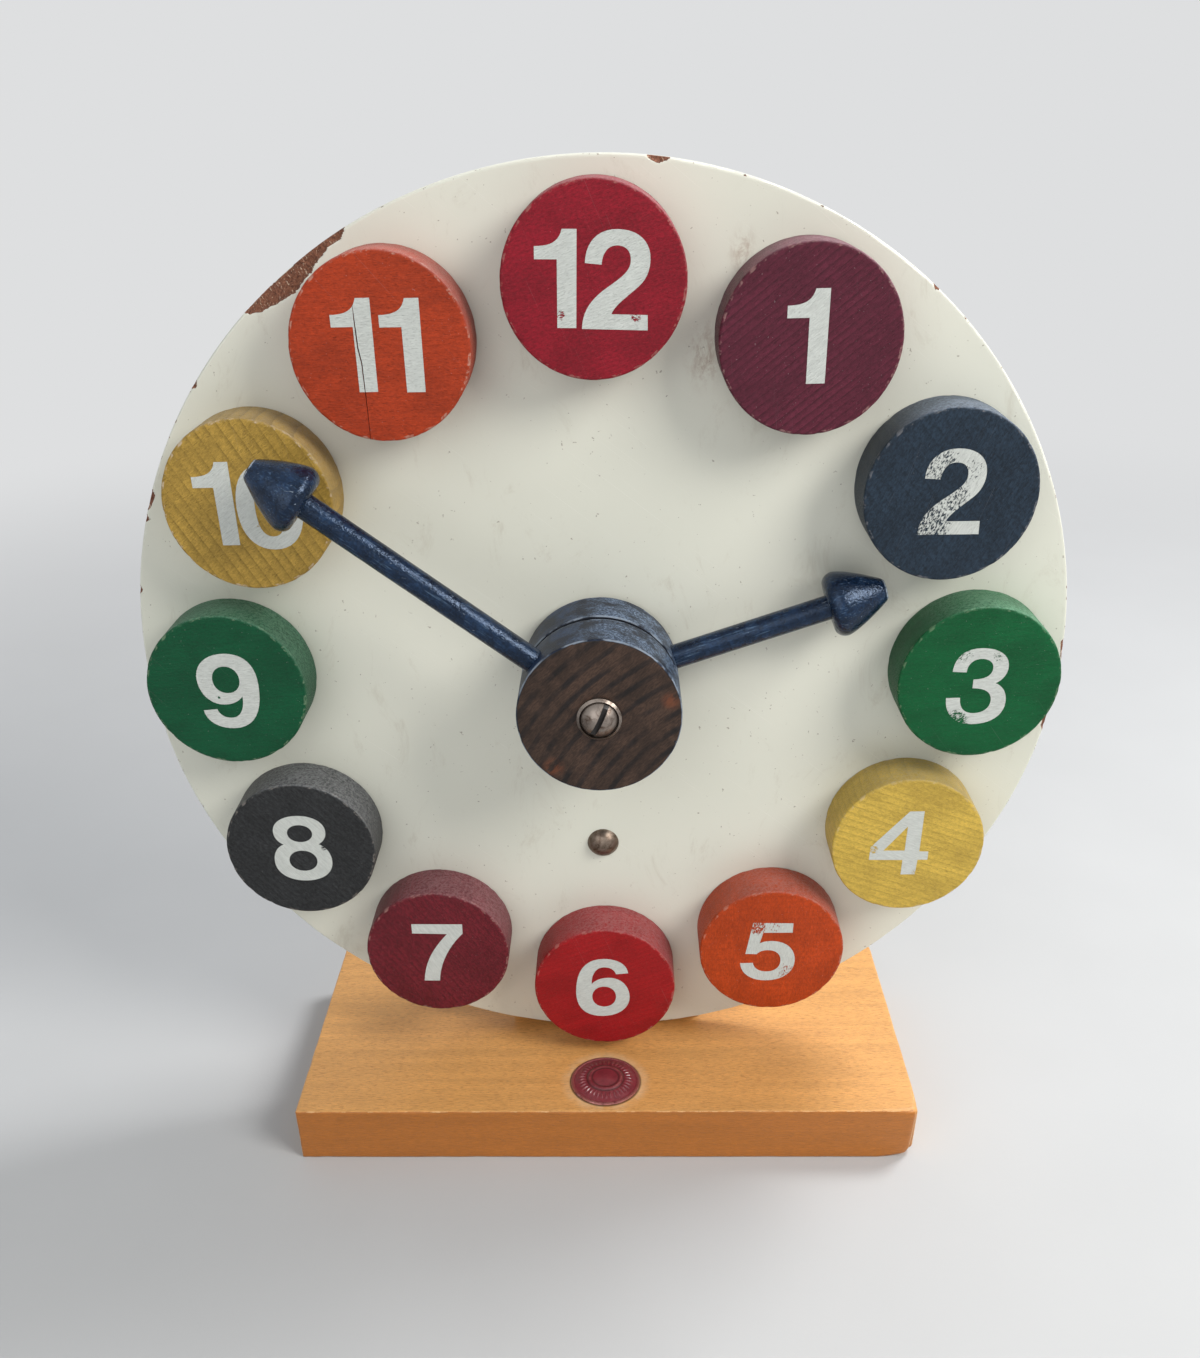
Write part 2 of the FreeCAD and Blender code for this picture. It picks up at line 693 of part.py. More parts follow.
def hub_rim(inner_rear, inner_front, step):
    """Half outline of a hub: chamfered rim, and a bore that narrows at the step."""
    radius = "Sheet.hub_diameter / 2"
    chamfer = "Sheet.hub_chamfer"
    height = "Sheet.hub_thickness"
    outline = [
        (inner_rear, "0"),
        (f"{radius} - {chamfer}", "0"),
        (radius, chamfer),
        (radius, f"{height} - {chamfer}"),
        (f"{radius} - {chamfer}", height),
        (inner_front, height),
    ]
    if step:
        outline += [(inner_front, step), (inner_rear, step)]
    return outline


def make_hand(name, hub_rear, reach, angle):
    """Rod glued into the hub, and the turned arrowhead glued on its end."""
    turn = FreeCAD.Rotation(DEEP, number(angle))
    y = f"{hub_rear} - Sheet.hub_thickness / 2"
    start = "(Sheet.hub_diameter / 2 - Sheet.rod_hub_grip)"
    head_start = f"({reach} - Sheet.arrowhead_length)"
    rod = new_node("Part::Cylinder", f"{name}_rod")
    rod.setExpression("Radius", "Sheet.rod_diameter / 2")
    rod.setExpression("Height", f"{head_start} + Sheet.rod_head_grip - {start}")
    x_start = f"{start} * sin({angle} * 1 deg)"
    place(rod, x_start, y, f"{DIAL_Z} + {start} * cos({angle} * 1 deg)", turn)

    foot = "(Sheet.arrowhead_base_diameter / 2)"
    belly = "(Sheet.arrowhead_diameter / 2)"
    tip = "(Sheet.arrowhead_tip_diameter / 2)"
    swell = f"({belly} - {foot})"
    belly_height = "Sheet.arrowhead_belly_height"
    crown_base = "(Sheet.arrowhead_length - Sheet.arrowhead_tip_crown)"
    rise = f"({crown_base} - {belly_height})"
    taper = f"({belly} - {tip})"
    socket = "Sheet.rod_head_grip + Sheet.loose_clearance"
    head = turned(
        f"{name}_arrowhead",
        [
            (ROD_SOCKET, "0"),
            (foot, "0"),
            (belly, belly_height),
            (tip, crown_base),
            ("0", "Sheet.arrowhead_length"),
            ("0", socket),
            (ROD_SOCKET, socket),
        ],
        {
            1: (f"({belly_height}^2 + {swell}^2) / (2 * {swell})", 1),
            2: (f"({rise}^2 + {taper}^2) / {taper}", 1),
            3: (f"({tip}^2 + Sheet.arrowhead_tip_crown^2) / (2 * Sheet.arrowhead_tip_crown)", 1),
        },
    )
    x_head = f"{head_start} * sin({angle} * 1 deg)"
    place(head, x_head, y, f"{DIAL_Z} + {head_start} * cos({angle} * 1 deg)", turn)


def make_hour_parts():
    """Hour hub and hand on the sleeve, with the washer in front of the hub."""
    sleeve_seat = f"{SLEEVE_RADIUS} + Sheet.glue_clearance"
    profile = hub_rim(sleeve_seat, sleeve_seat, None)
    angle = "Sheet.hour_hand_angle"
    make_hub("hour_hub", profile, HOUR_HUB_REAR, angle)
    make_hand("hour", HOUR_HUB_REAR, HOUR_REACH, angle)
    sleeve = ring("hour_sleeve", ARBOR_BORE, SLEEVE_RADIUS, f"{HOUR_WHEEL_REAR} - {HOUR_HUB_FRONT}")
    place(sleeve, "0", HOUR_WHEEL_REAR, DIAL_Z)
    washer = ring(
        "hub_washer",
        "Sheet.arbor_diameter / 2 + Sheet.loose_clearance",
        "Sheet.hub_washer_diameter / 2",
        "Sheet.washer_thickness",
    )
    place(washer, "0", HOUR_HUB_FRONT, DIAL_Z)
    washer = ring(
        "dial_washer",
        f"{SLEEVE_RADIUS} + Sheet.loose_clearance",
        "Sheet.dial_washer_diameter / 2",
        "Sheet.washer_thickness",
    )
    place(washer, "0", DIAL_FRONT, DIAL_Z)


def make_minute_parts():
    """Minute hub and hand on the arbor, held by a cup washer and a round-head screw."""
    arbor_seat = "Sheet.arbor_diameter / 2 + Sheet.glue_clearance"
    profile = hub_rim(arbor_seat, SCREW_HOLE, "Sheet.arbor_hub_grip")
    angle = "Sheet.minute_hand_angle"
    make_hub("minute_hub", profile, MINUTE_HUB_REAR, angle)
    make_hand("minute", MINUTE_HUB_REAR, MINUTE_REACH, angle)

    arbor_front = f"({MINUTE_HUB_REAR} - Sheet.arbor_hub_grip)"
    arbor_rear = f"({POST_BACK} - Sheet.arbor_inset)"
    length = f"({arbor_rear} - {arbor_front})"
    radius = "Sheet.arbor_diameter / 2"
    screw_floor = f"{length} - Sheet.screw_grip - Sheet.loose_clearance"
    arbor = turned(
        "minute_arbor",
        [
            ("0", "0"),
            (radius, "0"),
            (radius, length),
            (SCREW_HOLE, length),
            (SCREW_HOLE, screw_floor),
            ("0", screw_floor),
        ],
    )
    place(arbor, "0", arbor_rear, DIAL_Z)

    lip = "Sheet.cup_washer_diameter / 2"
    bowl = "Sheet.screw_head_diameter / 2 + Sheet.glue_clearance"
    cup = turned(
        "cup_washer",
        [
            (SCREW_HOLE, "0"),
            (lip, "0"),
            (lip, "Sheet.cup_washer_height - Sheet.cup_washer_floor"),
            (bowl, "Sheet.cup_washer_height"),
            (bowl, "Sheet.cup_washer_floor"),
            (SCREW_HOLE, "Sheet.cup_washer_floor"),
        ],
    )
    place(cup, "0", MINUTE_HUB_FRONT, DIAL_Z)

    shank = "Sheet.screw_diameter / 2"
    head = "(Sheet.screw_head_diameter / 2)"
    under_head = "(Sheet.hub_thickness - Sheet.arbor_hub_grip + Sheet.screw_grip + Sheet.cup_washer_floor)"
    dome = "Sheet.screw_head_height"
    screw = turned(
        "centre_screw",
        [
            ("0", "0"),
            (shank, "0"),
            (shank, under_head),
            (head, under_head),
            ("0", f"{under_head} + {dome}"),
        ],
        {3: (f"({head}^2 + {dome}^2) / (2 * {dome})", 1)},
    )
    slot = new_sketch(screw, "slot_outline", "XY_Plane", ("0", "0", f"{under_head} + {dome}"))
    across = "Sheet.screw_slot_width"
    along = "Sheet.screw_head_diameter + Sheet.overrun"
    draw_rectangle(slot, across, along, centred=True)
    pocket(screw, slot, "Sheet.screw_slot_depth")
    turn = FreeCAD.Rotation(DEEP, number("Sheet.slot_angle")) * FRONT_FACING
    place(screw, "0", f"{MINUTE_HUB_FRONT} + {under_head} - Sheet.cup_washer_floor", DIAL_Z, turn)


# Stud of the intermediate gears
def make_stud_parts():
    """Dome-headed stud through the dial and the post, with its washers and nut."""
    end = f"({POST_BACK} + Sheet.stud_washer_thickness + Sheet.stud_nut_thickness + Sheet.stud_end_length)"
    length = f"({end} - {DIAL_FRONT})"
    radius = "Sheet.stud_diameter / 2"
    head = "(Sheet.stud_head_diameter / 2)"
    dome = "Sheet.stud_head_height"
    stud = turned(
        "intermediate_stud",
        [
            ("0", "0"),
            (f"{radius} - Sheet.stud_end_length / 2", "0"),
            (radius, "Sheet.stud_end_length / 2"),
            (radius, length),
            (head, length),
            ("0", f"{length} + {dome}"),
        ],
        {4: (f"({head}^2 + {dome}^2) / (2 * {dome})", 1)},
    )
    place(stud, "0", end, STUD_Z)

    thickness = "Sheet.stud_washer_thickness"
    washer = ring("stud_washer", STUD_HOLE, "Sheet.stud_washer_diameter / 2", thickness)
    washer_rear = f"{POST_BACK} + Sheet.stud_washer_thickness"
    place(washer, "0", washer_rear, STUD_Z)

    prism = doc.addObject("Part::Prism", "nut_blank")
    prism.Polygon = 6
    prism.setExpression("Circumradius", "Sheet.stud_nut_width / 2 / cos(30 deg)")
    prism.setExpression("Height", "Sheet.stud_nut_thickness")
    place(prism, "0", f"{washer_rear} + Sheet.stud_nut_thickness", STUD_Z)
    thread = doc.addObject("Part::Cylinder", "nut_bore")
    thread.setExpression("Radius", STUD_HOLE)
    thread.setExpression("Height", "Sheet.stud_nut_thickness + 2 * Sheet.overrun")
    place(thread, "0", f"{washer_rear} + Sheet.stud_nut_thickness + Sheet.overrun", STUD_Z)
    nut = new_node("Part::Cut", "stud_nut")
    nut.Base = prism
    nut.Tool = thread

    outer = number("Sheet.gear_washer_diameter / 2")
    height = number("Sheet.gear_washer_thickness")
    plate = Part.makeCylinder(outer, height)
    plate = plate.cut(Part.makeCylinder(number(STUD_HOLE), height))
    front = spot("0", f"{DIAL_BACK} + Sheet.gear_washer_thickness", STUD_Z)
    back = spot("0", POST_FRONT, STUD_Z)
    new_node("Part::Feature", "gear_washers").Shape = copies(plate, [front, back])


# Gear train
def involute(angle):
    """Involute function of a pressure angle in radians."""
    return math.tan(angle) - angle


def polar(radius, angle):
    """Point on a gear's face."""
    return FreeCAD.Vector(radius * math.cos(angle), radius * math.sin(angle), 0)


def flank(radii, angles):
    """Smooth curve through points given by radius and angle."""
    curve = Part.BSplineCurve()
    curve.interpolate([polar(radius, angle) for radius, angle in zip(radii, angles)])
    return curve.toShape()


def gear_face(teeth, module, shift, root_radius, first_angle):
    """Flat face of an involute gear whose first tooth points at first_angle."""
    pressure = math.radians(number("Sheet.pressure_angle"))
    pitch_radius = module * teeth / 2
    base_radius = pitch_radius * math.cos(pressure)
    tip_radius = pitch_radius + module * (shift + number("Sheet.addendum_share"))
    flank_radius = max(base_radius, root_radius)
    thinning = number("Sheet.tooth_backlash") / (4 * pitch_radius)
    pitch_half = (math.pi / 2 + 2 * shift * math.tan(pressure)) / teeth - thinning

    # Flank points lie at even steps of the angle by which the involute has unrolled.
    steps = 4
    first_roll = math.sqrt((flank_radius / base_radius) ** 2 - 1)
    last_roll = math.sqrt((tip_radius / base_radius) ** 2 - 1)
    rolls = [first_roll + (last_roll - first_roll) * step / steps for step in range(steps + 1)]
    radii = [base_radius * math.sqrt(1 + roll**2) for roll in rolls]
    halves = [pitch_half + involute(pressure) - involute(math.atan(roll)) for roll in rolls]

    pitch_angle = 2 * math.pi / teeth
    edges = []
    for tooth in range(teeth):
        middle = first_angle + tooth * pitch_angle
        rising = [middle - half for half in halves]
        falling = [middle + half for half in halves]
        feet = [polar(root_radius, rising[0]), polar(root_radius, falling[0])]
        next_foot = polar(root_radius, rising[0] + pitch_angle)
        valley = polar(root_radius, middle + pitch_angle / 2)
        tips = [polar(tip_radius, angle) for angle in (rising[-1], middle, falling[-1])]
        edges.append(flank(radii, rising))
        edges.append(Part.Arc(*tips).toShape())
        edges.append(flank(radii, falling))
        if root_radius < flank_radius:
            edges.append(Part.makeLine(feet[0], polar(flank_radius, rising[0])))
            edges.append(Part.makeLine(feet[1], polar(flank_radius, falling[0])))
        edges.append(Part.Arc(feet[1], valley, next_foot).toShape())
    return Part.Face(Part.Wire(Part.__sortEdges__(edges)))


def make_gear(label, mate, module, thickness, bore_radius, rear, centre):
    """Gear in mesh with its mate; a pinion's teeth are shifted out, a wheel's as far in."""
    teeth = int(number(f"Sheet.{label}_teeth"))
    mate_teeth = int(number(f"Sheet.{mate}_teeth"))
    module_size = number(module)
    share = number("Sheet.profile_shift_share")
    shift = share if teeth < mate_teeth else -share
    distance = module_size * (teeth + mate_teeth) / 2
    mate_tip = module_size * (mate_teeth / 2 - shift + number("Sheet.addendum_share"))
    root_radius = distance - mate_tip - module_size * number("Sheet.root_clearance_share")
    towards_mate = math.pi / 2 if centre == STUD_Z else -math.pi / 2
    first_angle = towards_mate if teeth < mate_teeth else towards_mate + math.pi / teeth
    face = gear_face(teeth, module_size, shift, root_radius, first_angle)
    depth = number(thickness)
    blank = face.extrude(UP * depth)
    gear = new_node("Part::Feature", label)
    gear.Shape = blank.cut(Part.makeCylinder(number(bore_radius), depth))
    place(gear, "0", rear, centre)


def make_gears():
    """Minute pinion drives the intermediate wheel, whose pinion drives the hour wheel."""
    wheel = "Sheet.wheel_thickness"
    pinion = "Sheet.wheel_thickness + Sheet.wheel_gap"
    arbor_seat = "Sheet.arbor_diameter / 2 + Sheet.glue_clearance"
    sleeve_seat = f"{SLEEVE_RADIUS} + Sheet.glue_clearance"
    stud_bore = "Sheet.stud_diameter / 2 + Sheet.running_clearance"
    rear = f"{MIDDLE_WHEEL_REAR} + Sheet.wheel_gap / 2"
    make_gear("minute_pinion", "intermediate_wheel", FIRST_MODULE, pinion, arbor_seat, rear, DIAL_Z)
    rear = MIDDLE_WHEEL_REAR
    make_gear("intermediate_wheel", "minute_pinion", FIRST_MODULE, wheel, stud_bore, rear, STUD_Z)
    rear = MIDDLE_WHEEL_FRONT
    make_gear("intermediate_pinion", "hour_wheel", SECOND_MODULE, pinion, stud_bore, rear, STUD_Z)
    rear = HOUR_WHEEL_REAR
    make_gear("hour_wheel", "intermediate_pinion", SECOND_MODULE, wheel, sleeve_seat, rear, DIAL_Z)


make_base()
make_tack()
make_post()
make_block("lower_block", "Sheet.base_thickness", "Sheet.lower_block_height", LOWER_SCREW_Z, True)
make_block("upper_block", UPPER_BLOCK_BOTTOM, "Sheet.upper_block_height", UPPER_SCREW_Z, False)
make_wood_screws()
make_dial()
for clock_hour in range(1, HOURS + 1):
    make_number_disc(clock_hour)
make_disc_nails()
make_hour_parts()
make_minute_parts()
make_stud_parts()
make_gears()
doc.recompute()

for item in doc.Objects:
    if "Invalid" in item.State or "Error" in item.State:
        raise ValueError(f"{item.Name} ({item.Label}) failed: {item.State}")
for item in nodes:
    if item.Shape.isNull() or not item.Shape.isValid():
        raise ValueError(f"{item.Label} has no valid shape")

os.makedirs("parts", exist_ok=True)
for item in nodes:
    item.Shape.exportStep(f"parts/{item.Label}.step")
    print(item.Label, len(item.Shape.Solids), round(item.Shape.Volume, 1))
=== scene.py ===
"""Looks of the geared teaching clock: worn paint, stain and lacquer on turned and sawn wood."""

import json
from math import asin, atan2, cos, degrees, exp, hypot, pi, radians, sin

import bmesh
import bpy
from mathutils import Matrix, Vector, noise


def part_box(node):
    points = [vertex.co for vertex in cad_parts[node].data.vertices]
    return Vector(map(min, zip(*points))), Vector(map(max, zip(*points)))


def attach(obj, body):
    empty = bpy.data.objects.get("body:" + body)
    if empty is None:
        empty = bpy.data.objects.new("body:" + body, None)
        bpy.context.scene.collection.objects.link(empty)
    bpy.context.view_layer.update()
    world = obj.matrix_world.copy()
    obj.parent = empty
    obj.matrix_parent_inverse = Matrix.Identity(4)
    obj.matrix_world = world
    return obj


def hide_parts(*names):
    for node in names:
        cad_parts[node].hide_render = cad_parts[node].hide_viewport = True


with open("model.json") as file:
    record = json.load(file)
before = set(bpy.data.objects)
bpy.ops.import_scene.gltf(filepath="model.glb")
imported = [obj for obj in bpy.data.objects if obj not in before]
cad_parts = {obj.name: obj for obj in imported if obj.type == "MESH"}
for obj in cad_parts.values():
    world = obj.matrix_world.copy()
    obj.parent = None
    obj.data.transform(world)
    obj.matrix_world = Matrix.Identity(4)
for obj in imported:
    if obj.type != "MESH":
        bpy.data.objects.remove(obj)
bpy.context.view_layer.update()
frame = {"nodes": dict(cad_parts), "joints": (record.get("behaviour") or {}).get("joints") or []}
scene = bpy.context.scene

MM = 0.001
HOURS = 12
CENTRE = Vector(next(joint for joint in frame["joints"] if joint["name"] == "minute_turn")["pos_m"])

# Camera of the photograph, solved from the discs, the dial and the base. Pixels of its own frame.
IMAGE_WIDTH = 1200
IMAGE_HEIGHT = 1358
CAMERA_PLACE = (0.00498, -0.31554, 0.27824)
CAMERA_YAW = radians(-1.666)
CAMERA_PITCH = radians(29.269)
CAMERA_ROLL = radians(-1.263)
FOCAL_PIXELS = 1238.36
OPTICAL_CENTRE = (588.2, 800.0)
SENSOR_MM = 36.0


def add_object(name, data):
    """New object in the scene."""
    added = bpy.data.objects.new(name, data)
    scene.collection.objects.link(added)
    return added


def make_camera():
    """Hand-held camera a little above the dial, looking down at it."""
    heading = Matrix.Rotation(-CAMERA_YAW, 4, "Z")
    nod = Matrix.Rotation(pi / 2 - CAMERA_PITCH, 4, "X")
    roll = Matrix.Rotation(CAMERA_ROLL, 4, "Z")
    lens = bpy.data.cameras.new("camera")
    lens.sensor_width = SENSOR_MM
    lens.lens = FOCAL_PIXELS * SENSOR_MM / IMAGE_HEIGHT
    lens.shift_x = (IMAGE_WIDTH / 2 - OPTICAL_CENTRE[0]) / IMAGE_HEIGHT
    lens.shift_y = (OPTICAL_CENTRE[1] - IMAGE_HEIGHT / 2) / IMAGE_HEIGHT
    camera = add_object("camera", lens)
    camera.matrix_world = Matrix.Translation(CAMERA_PLACE) @ heading @ nod @ roll
    scene.camera = camera


# Materials
class Nodes:
    """Node tree of a material or the world."""

    def __init__(self, tree):
        self.tree = tree

    def put(self, socket, value):
        """Links a socket to another, or sets its value."""
        if isinstance(value, bpy.types.NodeSocket):
            self.tree.links.new(value, socket)
        elif socket.type == "VECTOR":
            socket.default_value = value[:3]
        else:
            socket.default_value = value

    def node(self, kind, sockets=None, **settings):
        """New node with its settings and inputs."""
        node = self.tree.nodes.new("ShaderNode" + kind)
        for key, value in settings.items():
            setattr(node, key, value)
        for key, value in (sockets or {}).items():
            self.put(node.inputs[key], value)
        return node

    def calc(self, operation, first, second=0.0, third=0.0):
        """One step of arithmetic."""
        return self.node("Math", {0: first, 1: second, 2: third}, operation=operation).outputs[0]

    def seen_directly(self):
        """1 for what the camera, a reflection or a clear material shows, 0 for light on surfaces."""
        rays = self.node("LightPath").outputs
        direct = self.calc("MAXIMUM", rays["Is Camera Ray"], rays["Is Glossy Ray"])
        return self.calc("MAXIMUM", direct, rays["Is Transmission Ray"])


class Surface(Nodes):
    """Nodes of one material, with short calls for what the finishes share."""

    def __init__(self, name, **shader):
        self.material = bpy.data.materials.new(name)
        self.material.use_nodes = True
        super().__init__(self.material.node_tree)
        self.shader = self.tree.nodes["Principled BSDF"]
        self.place = self.node("TexCoord").outputs["Object"]
        for key, value in shader.items():
            self.put(self.shader.inputs[key.replace("_", " ")], value)

    def grid(self, size, turn=(0, 0, 0), anchor=(0, 0, 0)):
        """Coordinates counted in feature sizes (mm), one for all or one for each of the turned axes."""
        lengths = size if isinstance(size, tuple) else (size,) * 3
        sockets = {"Vector": self.place, "Location": anchor, "Rotation": turn}
        sockets["Scale"] = [length * MM for length in lengths]
        return self.node("Mapping", sockets, vector_type="TEXTURE").outputs[0]

    def noise(self, size, detail=3, rough=0.55, bend=0, turn=(0, 0, 0), anchor=(0, 0, 0)):
        """Noise from 0 to 1 with features of a size in mm."""
        sockets = {"Vector": self.grid(size, turn, anchor), "Scale": 1, "Detail": detail,
                   "Roughness": rough, "Distortion": bend}
        return self.node("TexNoise", sockets).outputs[0]

    def vector(self, operation, first, second=(0, 0, 0), output="Vector"):
        """One step of arithmetic with places, directions or colours."""
        return self.node("VectorMath", {0: first, 1: second}, operation=operation).outputs[output]

    def times(self, first, second):
        """Product of two numbers."""
        return self.calc("MULTIPLY", first, second)

    def ramp(self, value, gain, base):
        """Value times a gain, plus a base."""
        return self.calc("MULTIPLY_ADD", value, gain, base)

    def between(self, value, low, high):
        """0 under low, 1 over high, smooth between."""
        sockets = {"Value": value, "From Min": low, "From Max": high}
        return self.node("MapRange", sockets, interpolation_type="SMOOTHSTEP").outputs[0]

    def patches(self, low, high, *features, **more):
        """1 on the patches where a noise lies over a value."""
        return self.between(self.noise(*features, **more), low, high)

    def mix(self, share, first, second):
        """Colour between two."""
        return self.node("Mix", {0: share, 6: first, 7: second}, data_type="RGBA").outputs[2]

    def lay(self, under, over, share, strength):
        """Colour with another laid over it, where a share from 0 to 1 asks for it."""
        return self.mix(self.times(share, strength), under, over)

    def blend(self, share, first, second):
        """Number between two."""
        return self.node("Mix", {0: share, 2: first, 3: second}, data_type="FLOAT").outputs[0]

    def shade(self, colour, value, low, high):
        """Colour made darker or lighter by a value from 0 to 1."""
        sockets = {"Value": value, "To Min": low, "To Max": high}
        gain = self.node("MapRange", sockets).outputs[0]
        gains = self.node("CombineXYZ", {0: gain, 1: gain, 2: gain}).outputs[0]
        return self.vector("MULTIPLY", colour, gains)

    def attribute(self, name):
        """Number stored on the mesh's points."""
        return self.node("Attribute", attribute_name=name).outputs["Fac"]

    def rubbed(self, patchy, low, high):
        """1 on the worn patches of the mesh's marked edges."""
        return self.between(self.times(self.attribute("edge"), patchy), low, high)

    def facing(self, axis):
        """How far the surface faces along an axis of the object."""
        normal = self.node("TexCoord").outputs["Normal"]
        return self.node("SeparateXYZ", {0: normal}).outputs["XYZ".index(axis)]

    def away_from(self, point):
        """Distance from a point."""
        return self.vector("DISTANCE", self.place, point, "Value")

    def finish(self, colour, rough, height, depth):
        """Connects the colour, the roughness and a relief of a depth in mm."""
        relief = self.node("Bump", {"Height": height, "Distance": depth * MM, "Strength": 1.0})
        for name, value in (("Base Color", colour), ("Roughness", rough), ("Normal", relief.outputs[0])):
            self.put(self.shader.inputs[name], value)
        return self.material


def rgb(red, green, blue):
    """Linear colour from its 0 to 255 screen values."""
    def channel(value):
        value /= 255
        return value / 12.92 if value <= 0.04045 else ((value + 0.055) / 1.055) ** 2.4
    return (channel(red), channel(green), channel(blue), 1.0)


PALE_DUST = rgb(188, 178, 178)
# Scale of the wave texture at which one growth ring fills one unit of the grid.
ONE_RING = 0.314


def wood(skin, colour, anchor, fibre_turn, ring_turn, rings, ring_width, ring_axis="Z", cloudy=0.14,
         fibrous=0.16):
    """Stained or clear wood: fibres, pores and growth rings, for the colour and the relief."""
    fibre = skin.noise((2.4, 0.24, 0.24), 4, 0.68, 0, fibre_turn, anchor)
    fibre = skin.between(fibre, 0.28, 0.72)
    pore = skin.noise((0.9, 0.15, 0.15), 2, 0.5, 0, fibre_turn, anchor)
    cloud = skin.patches(0.3, 0.7, (14, 8, 8), 2, 0.5, 0.4, fibre_turn, anchor)
    sockets = {"Vector": skin.grid((40, ring_width, ring_width), ring_turn, anchor), "Scale": ONE_RING,
               "Distortion": 1.8, "Detail": 3, "Detail Scale": 0.8}
    wave = skin.node("TexWave", sockets, bands_direction=ring_axis, wave_profile="SAW").outputs["Fac"]
    late = skin.times(skin.calc("POWER", wave, 3), skin.calc("ADD", cloud, 0.4))
    pores = skin.between(pore, 0.38, 0.31)
    colour = skin.shade(colour, cloud, 1 - cloudy, 1 + cloudy)
    colour = skin.shade(colour, fibre, 1 - fibrous, 1 + fibrous)
    colour = skin.shade(colour, late, 1 + rings * 0.35, 1 - rings)
    colour = skin.shade(colour, pores, 1, 0.7)
    relief = skin.calc("SUBTRACT", fibre, skin.times(pores, 0.8))
    return colour, relief


# Stain of each disc: colour, turn of the fibres and of the growth rings on the face in degrees, strength
# and spacing of the rings (mm), how mottled it is, and how much its edge is rubbed.
CRIMSON = rgb(132, 18, 34)
MAROON = rgb(84, 29, 45)
CHARCOAL = rgb(32, 45, 58)
DISC_STAINS = {
    1: (MAROON, 38, 38, 0.34, 1.7, 0.16, 0.35),
    2: (CHARCOAL, 62, -50, 0.14, 2.4, 0.34, 0.25),
    3: (rgb(0, 82, 42), 6, 6, 0.04, 1.8, 0.12, 0.25),
    4: (rgb(194, 163, 72), -20, -20, 0.15, 2.1, 0.12, 0.45),
    5: (rgb(174, 62, 18), 88, 2, 0.08, 2, 0.15, 0.35),
    6: (rgb(148, 20, 24), 22, 22, 0.1, 1.6, 0.14, 0.3),
    7: (rgb(100, 26, 36), -55, -55, 0.18, 2, 0.26, 0.35),
    8: (rgb(42, 43, 44), -50, -50, 0.22, 1.8, 0.34, 0.25),
    9: (rgb(2, 74, 44), 3, 3, 0.06, 1.6, 0.12, 0.3),
    10: (rgb(166, 134, 60), 35, -60, 0.3, 2.7, 0.16, 1),
    11: (rgb(160, 54, 22), 2, 2, 0.06, 1.8, 0.14, 0.6),
    12: (CRIMSON, 20, 20, 0.06, 1.7, 0.22, 0.3),
}


def pale_tint(colour):
    """Pale tint of a stain, for a rubbed edge and for the dust and painted highlight on the sides."""
    strongest = max(colour[:3])
    return tuple(0.45 * (0.5 + 0.5 * channel / strongest) for channel in colour[:3]) + (1,)


def stained_face(skin, hour, anchor):
    """Colour and relief of a disc's stained wood."""
    colour, fibres, rings, strength, spacing, mottled, _ = DISC_STAINS[hour]
    start = anchor + Vector((hour * 0.013, hour * 0.007, -0.11))
    turns = [(0, -radians(angle), 0) for angle in (fibres, rings)]
    fibrous = 0.6 * mottled
    stain, relief = wood(skin, colour, start, turns[0], turns[1], strength, spacing, fibrous=fibrous)
    mottle = skin.patches(0.36, 0.64, (0.9, 0.6, 0.6), 5, 0.78, 0.2, turns[0], start)
    stain = skin.shade(stain, mottle, 1 - mottled, 1 + mottled)
    scratch_turn = (0, radians(fibres + 47), 0)
    scratch = skin.noise((26, 9, 0.12), 1, 0.4, 0.5, scratch_turn, start)
    scratches = skin.between(scratch, 0.75, 0.8)
    speck = skin.patches(0.76, 0.8, 0.4, 1, 0.5, anchor=start)
    scratches = skin.times(scratches, 0.12)
    marks = skin.calc("MAXIMUM", scratches, skin.times(speck, 0.28))
    return skin.mix(marks, stain, PALE_DUST), relief


def disc_material(hour, anchor):
    """Stained wood with a rubbed front edge, and pale dust with a painted highlight on the sides that face
    up and to the right.
    """
    skin = Surface(f"disc_stain_{hour}", Specular_IOR_Level=0.22)
    stain, relief = stained_face(skin, hour, anchor)
    patchy = skin.noise(3.2, 5, 0.72, 0.5, anchor=anchor)
    rubbed = skin.rubbed(patchy, 0.5, 0.6)
    pale = pale_tint(DISC_STAINS[hour][0])
    rubbed = skin.times(rubbed, DISC_STAINS[hour][-1])
    colour = skin.mix(rubbed, stain, skin.mix(0.3, pale, rgb(222, 190, 150)))
    # Painted highlight over real dust: the sides that face up and to the right, toward the lamps, are laid
    # over with a pale tint.
    light = skin.ramp(skin.facing("X"), 0.45, skin.facing("Z"))
    up_and_lit_sides = skin.between(light, 0.1, 1.1)
    powder = skin.noise(0.8, 5, 0.75, anchor=anchor)
    dust_and_sheen = skin.times(up_and_lit_sides, skin.between(powder, 0.28, 0.66))
    colour = skin.lay(colour, pale, dust_and_sheen, 0.5)
    rough = skin.ramp(relief, 0.14, 0.38)
    return skin.finish(colour, rough, relief, 0.06)


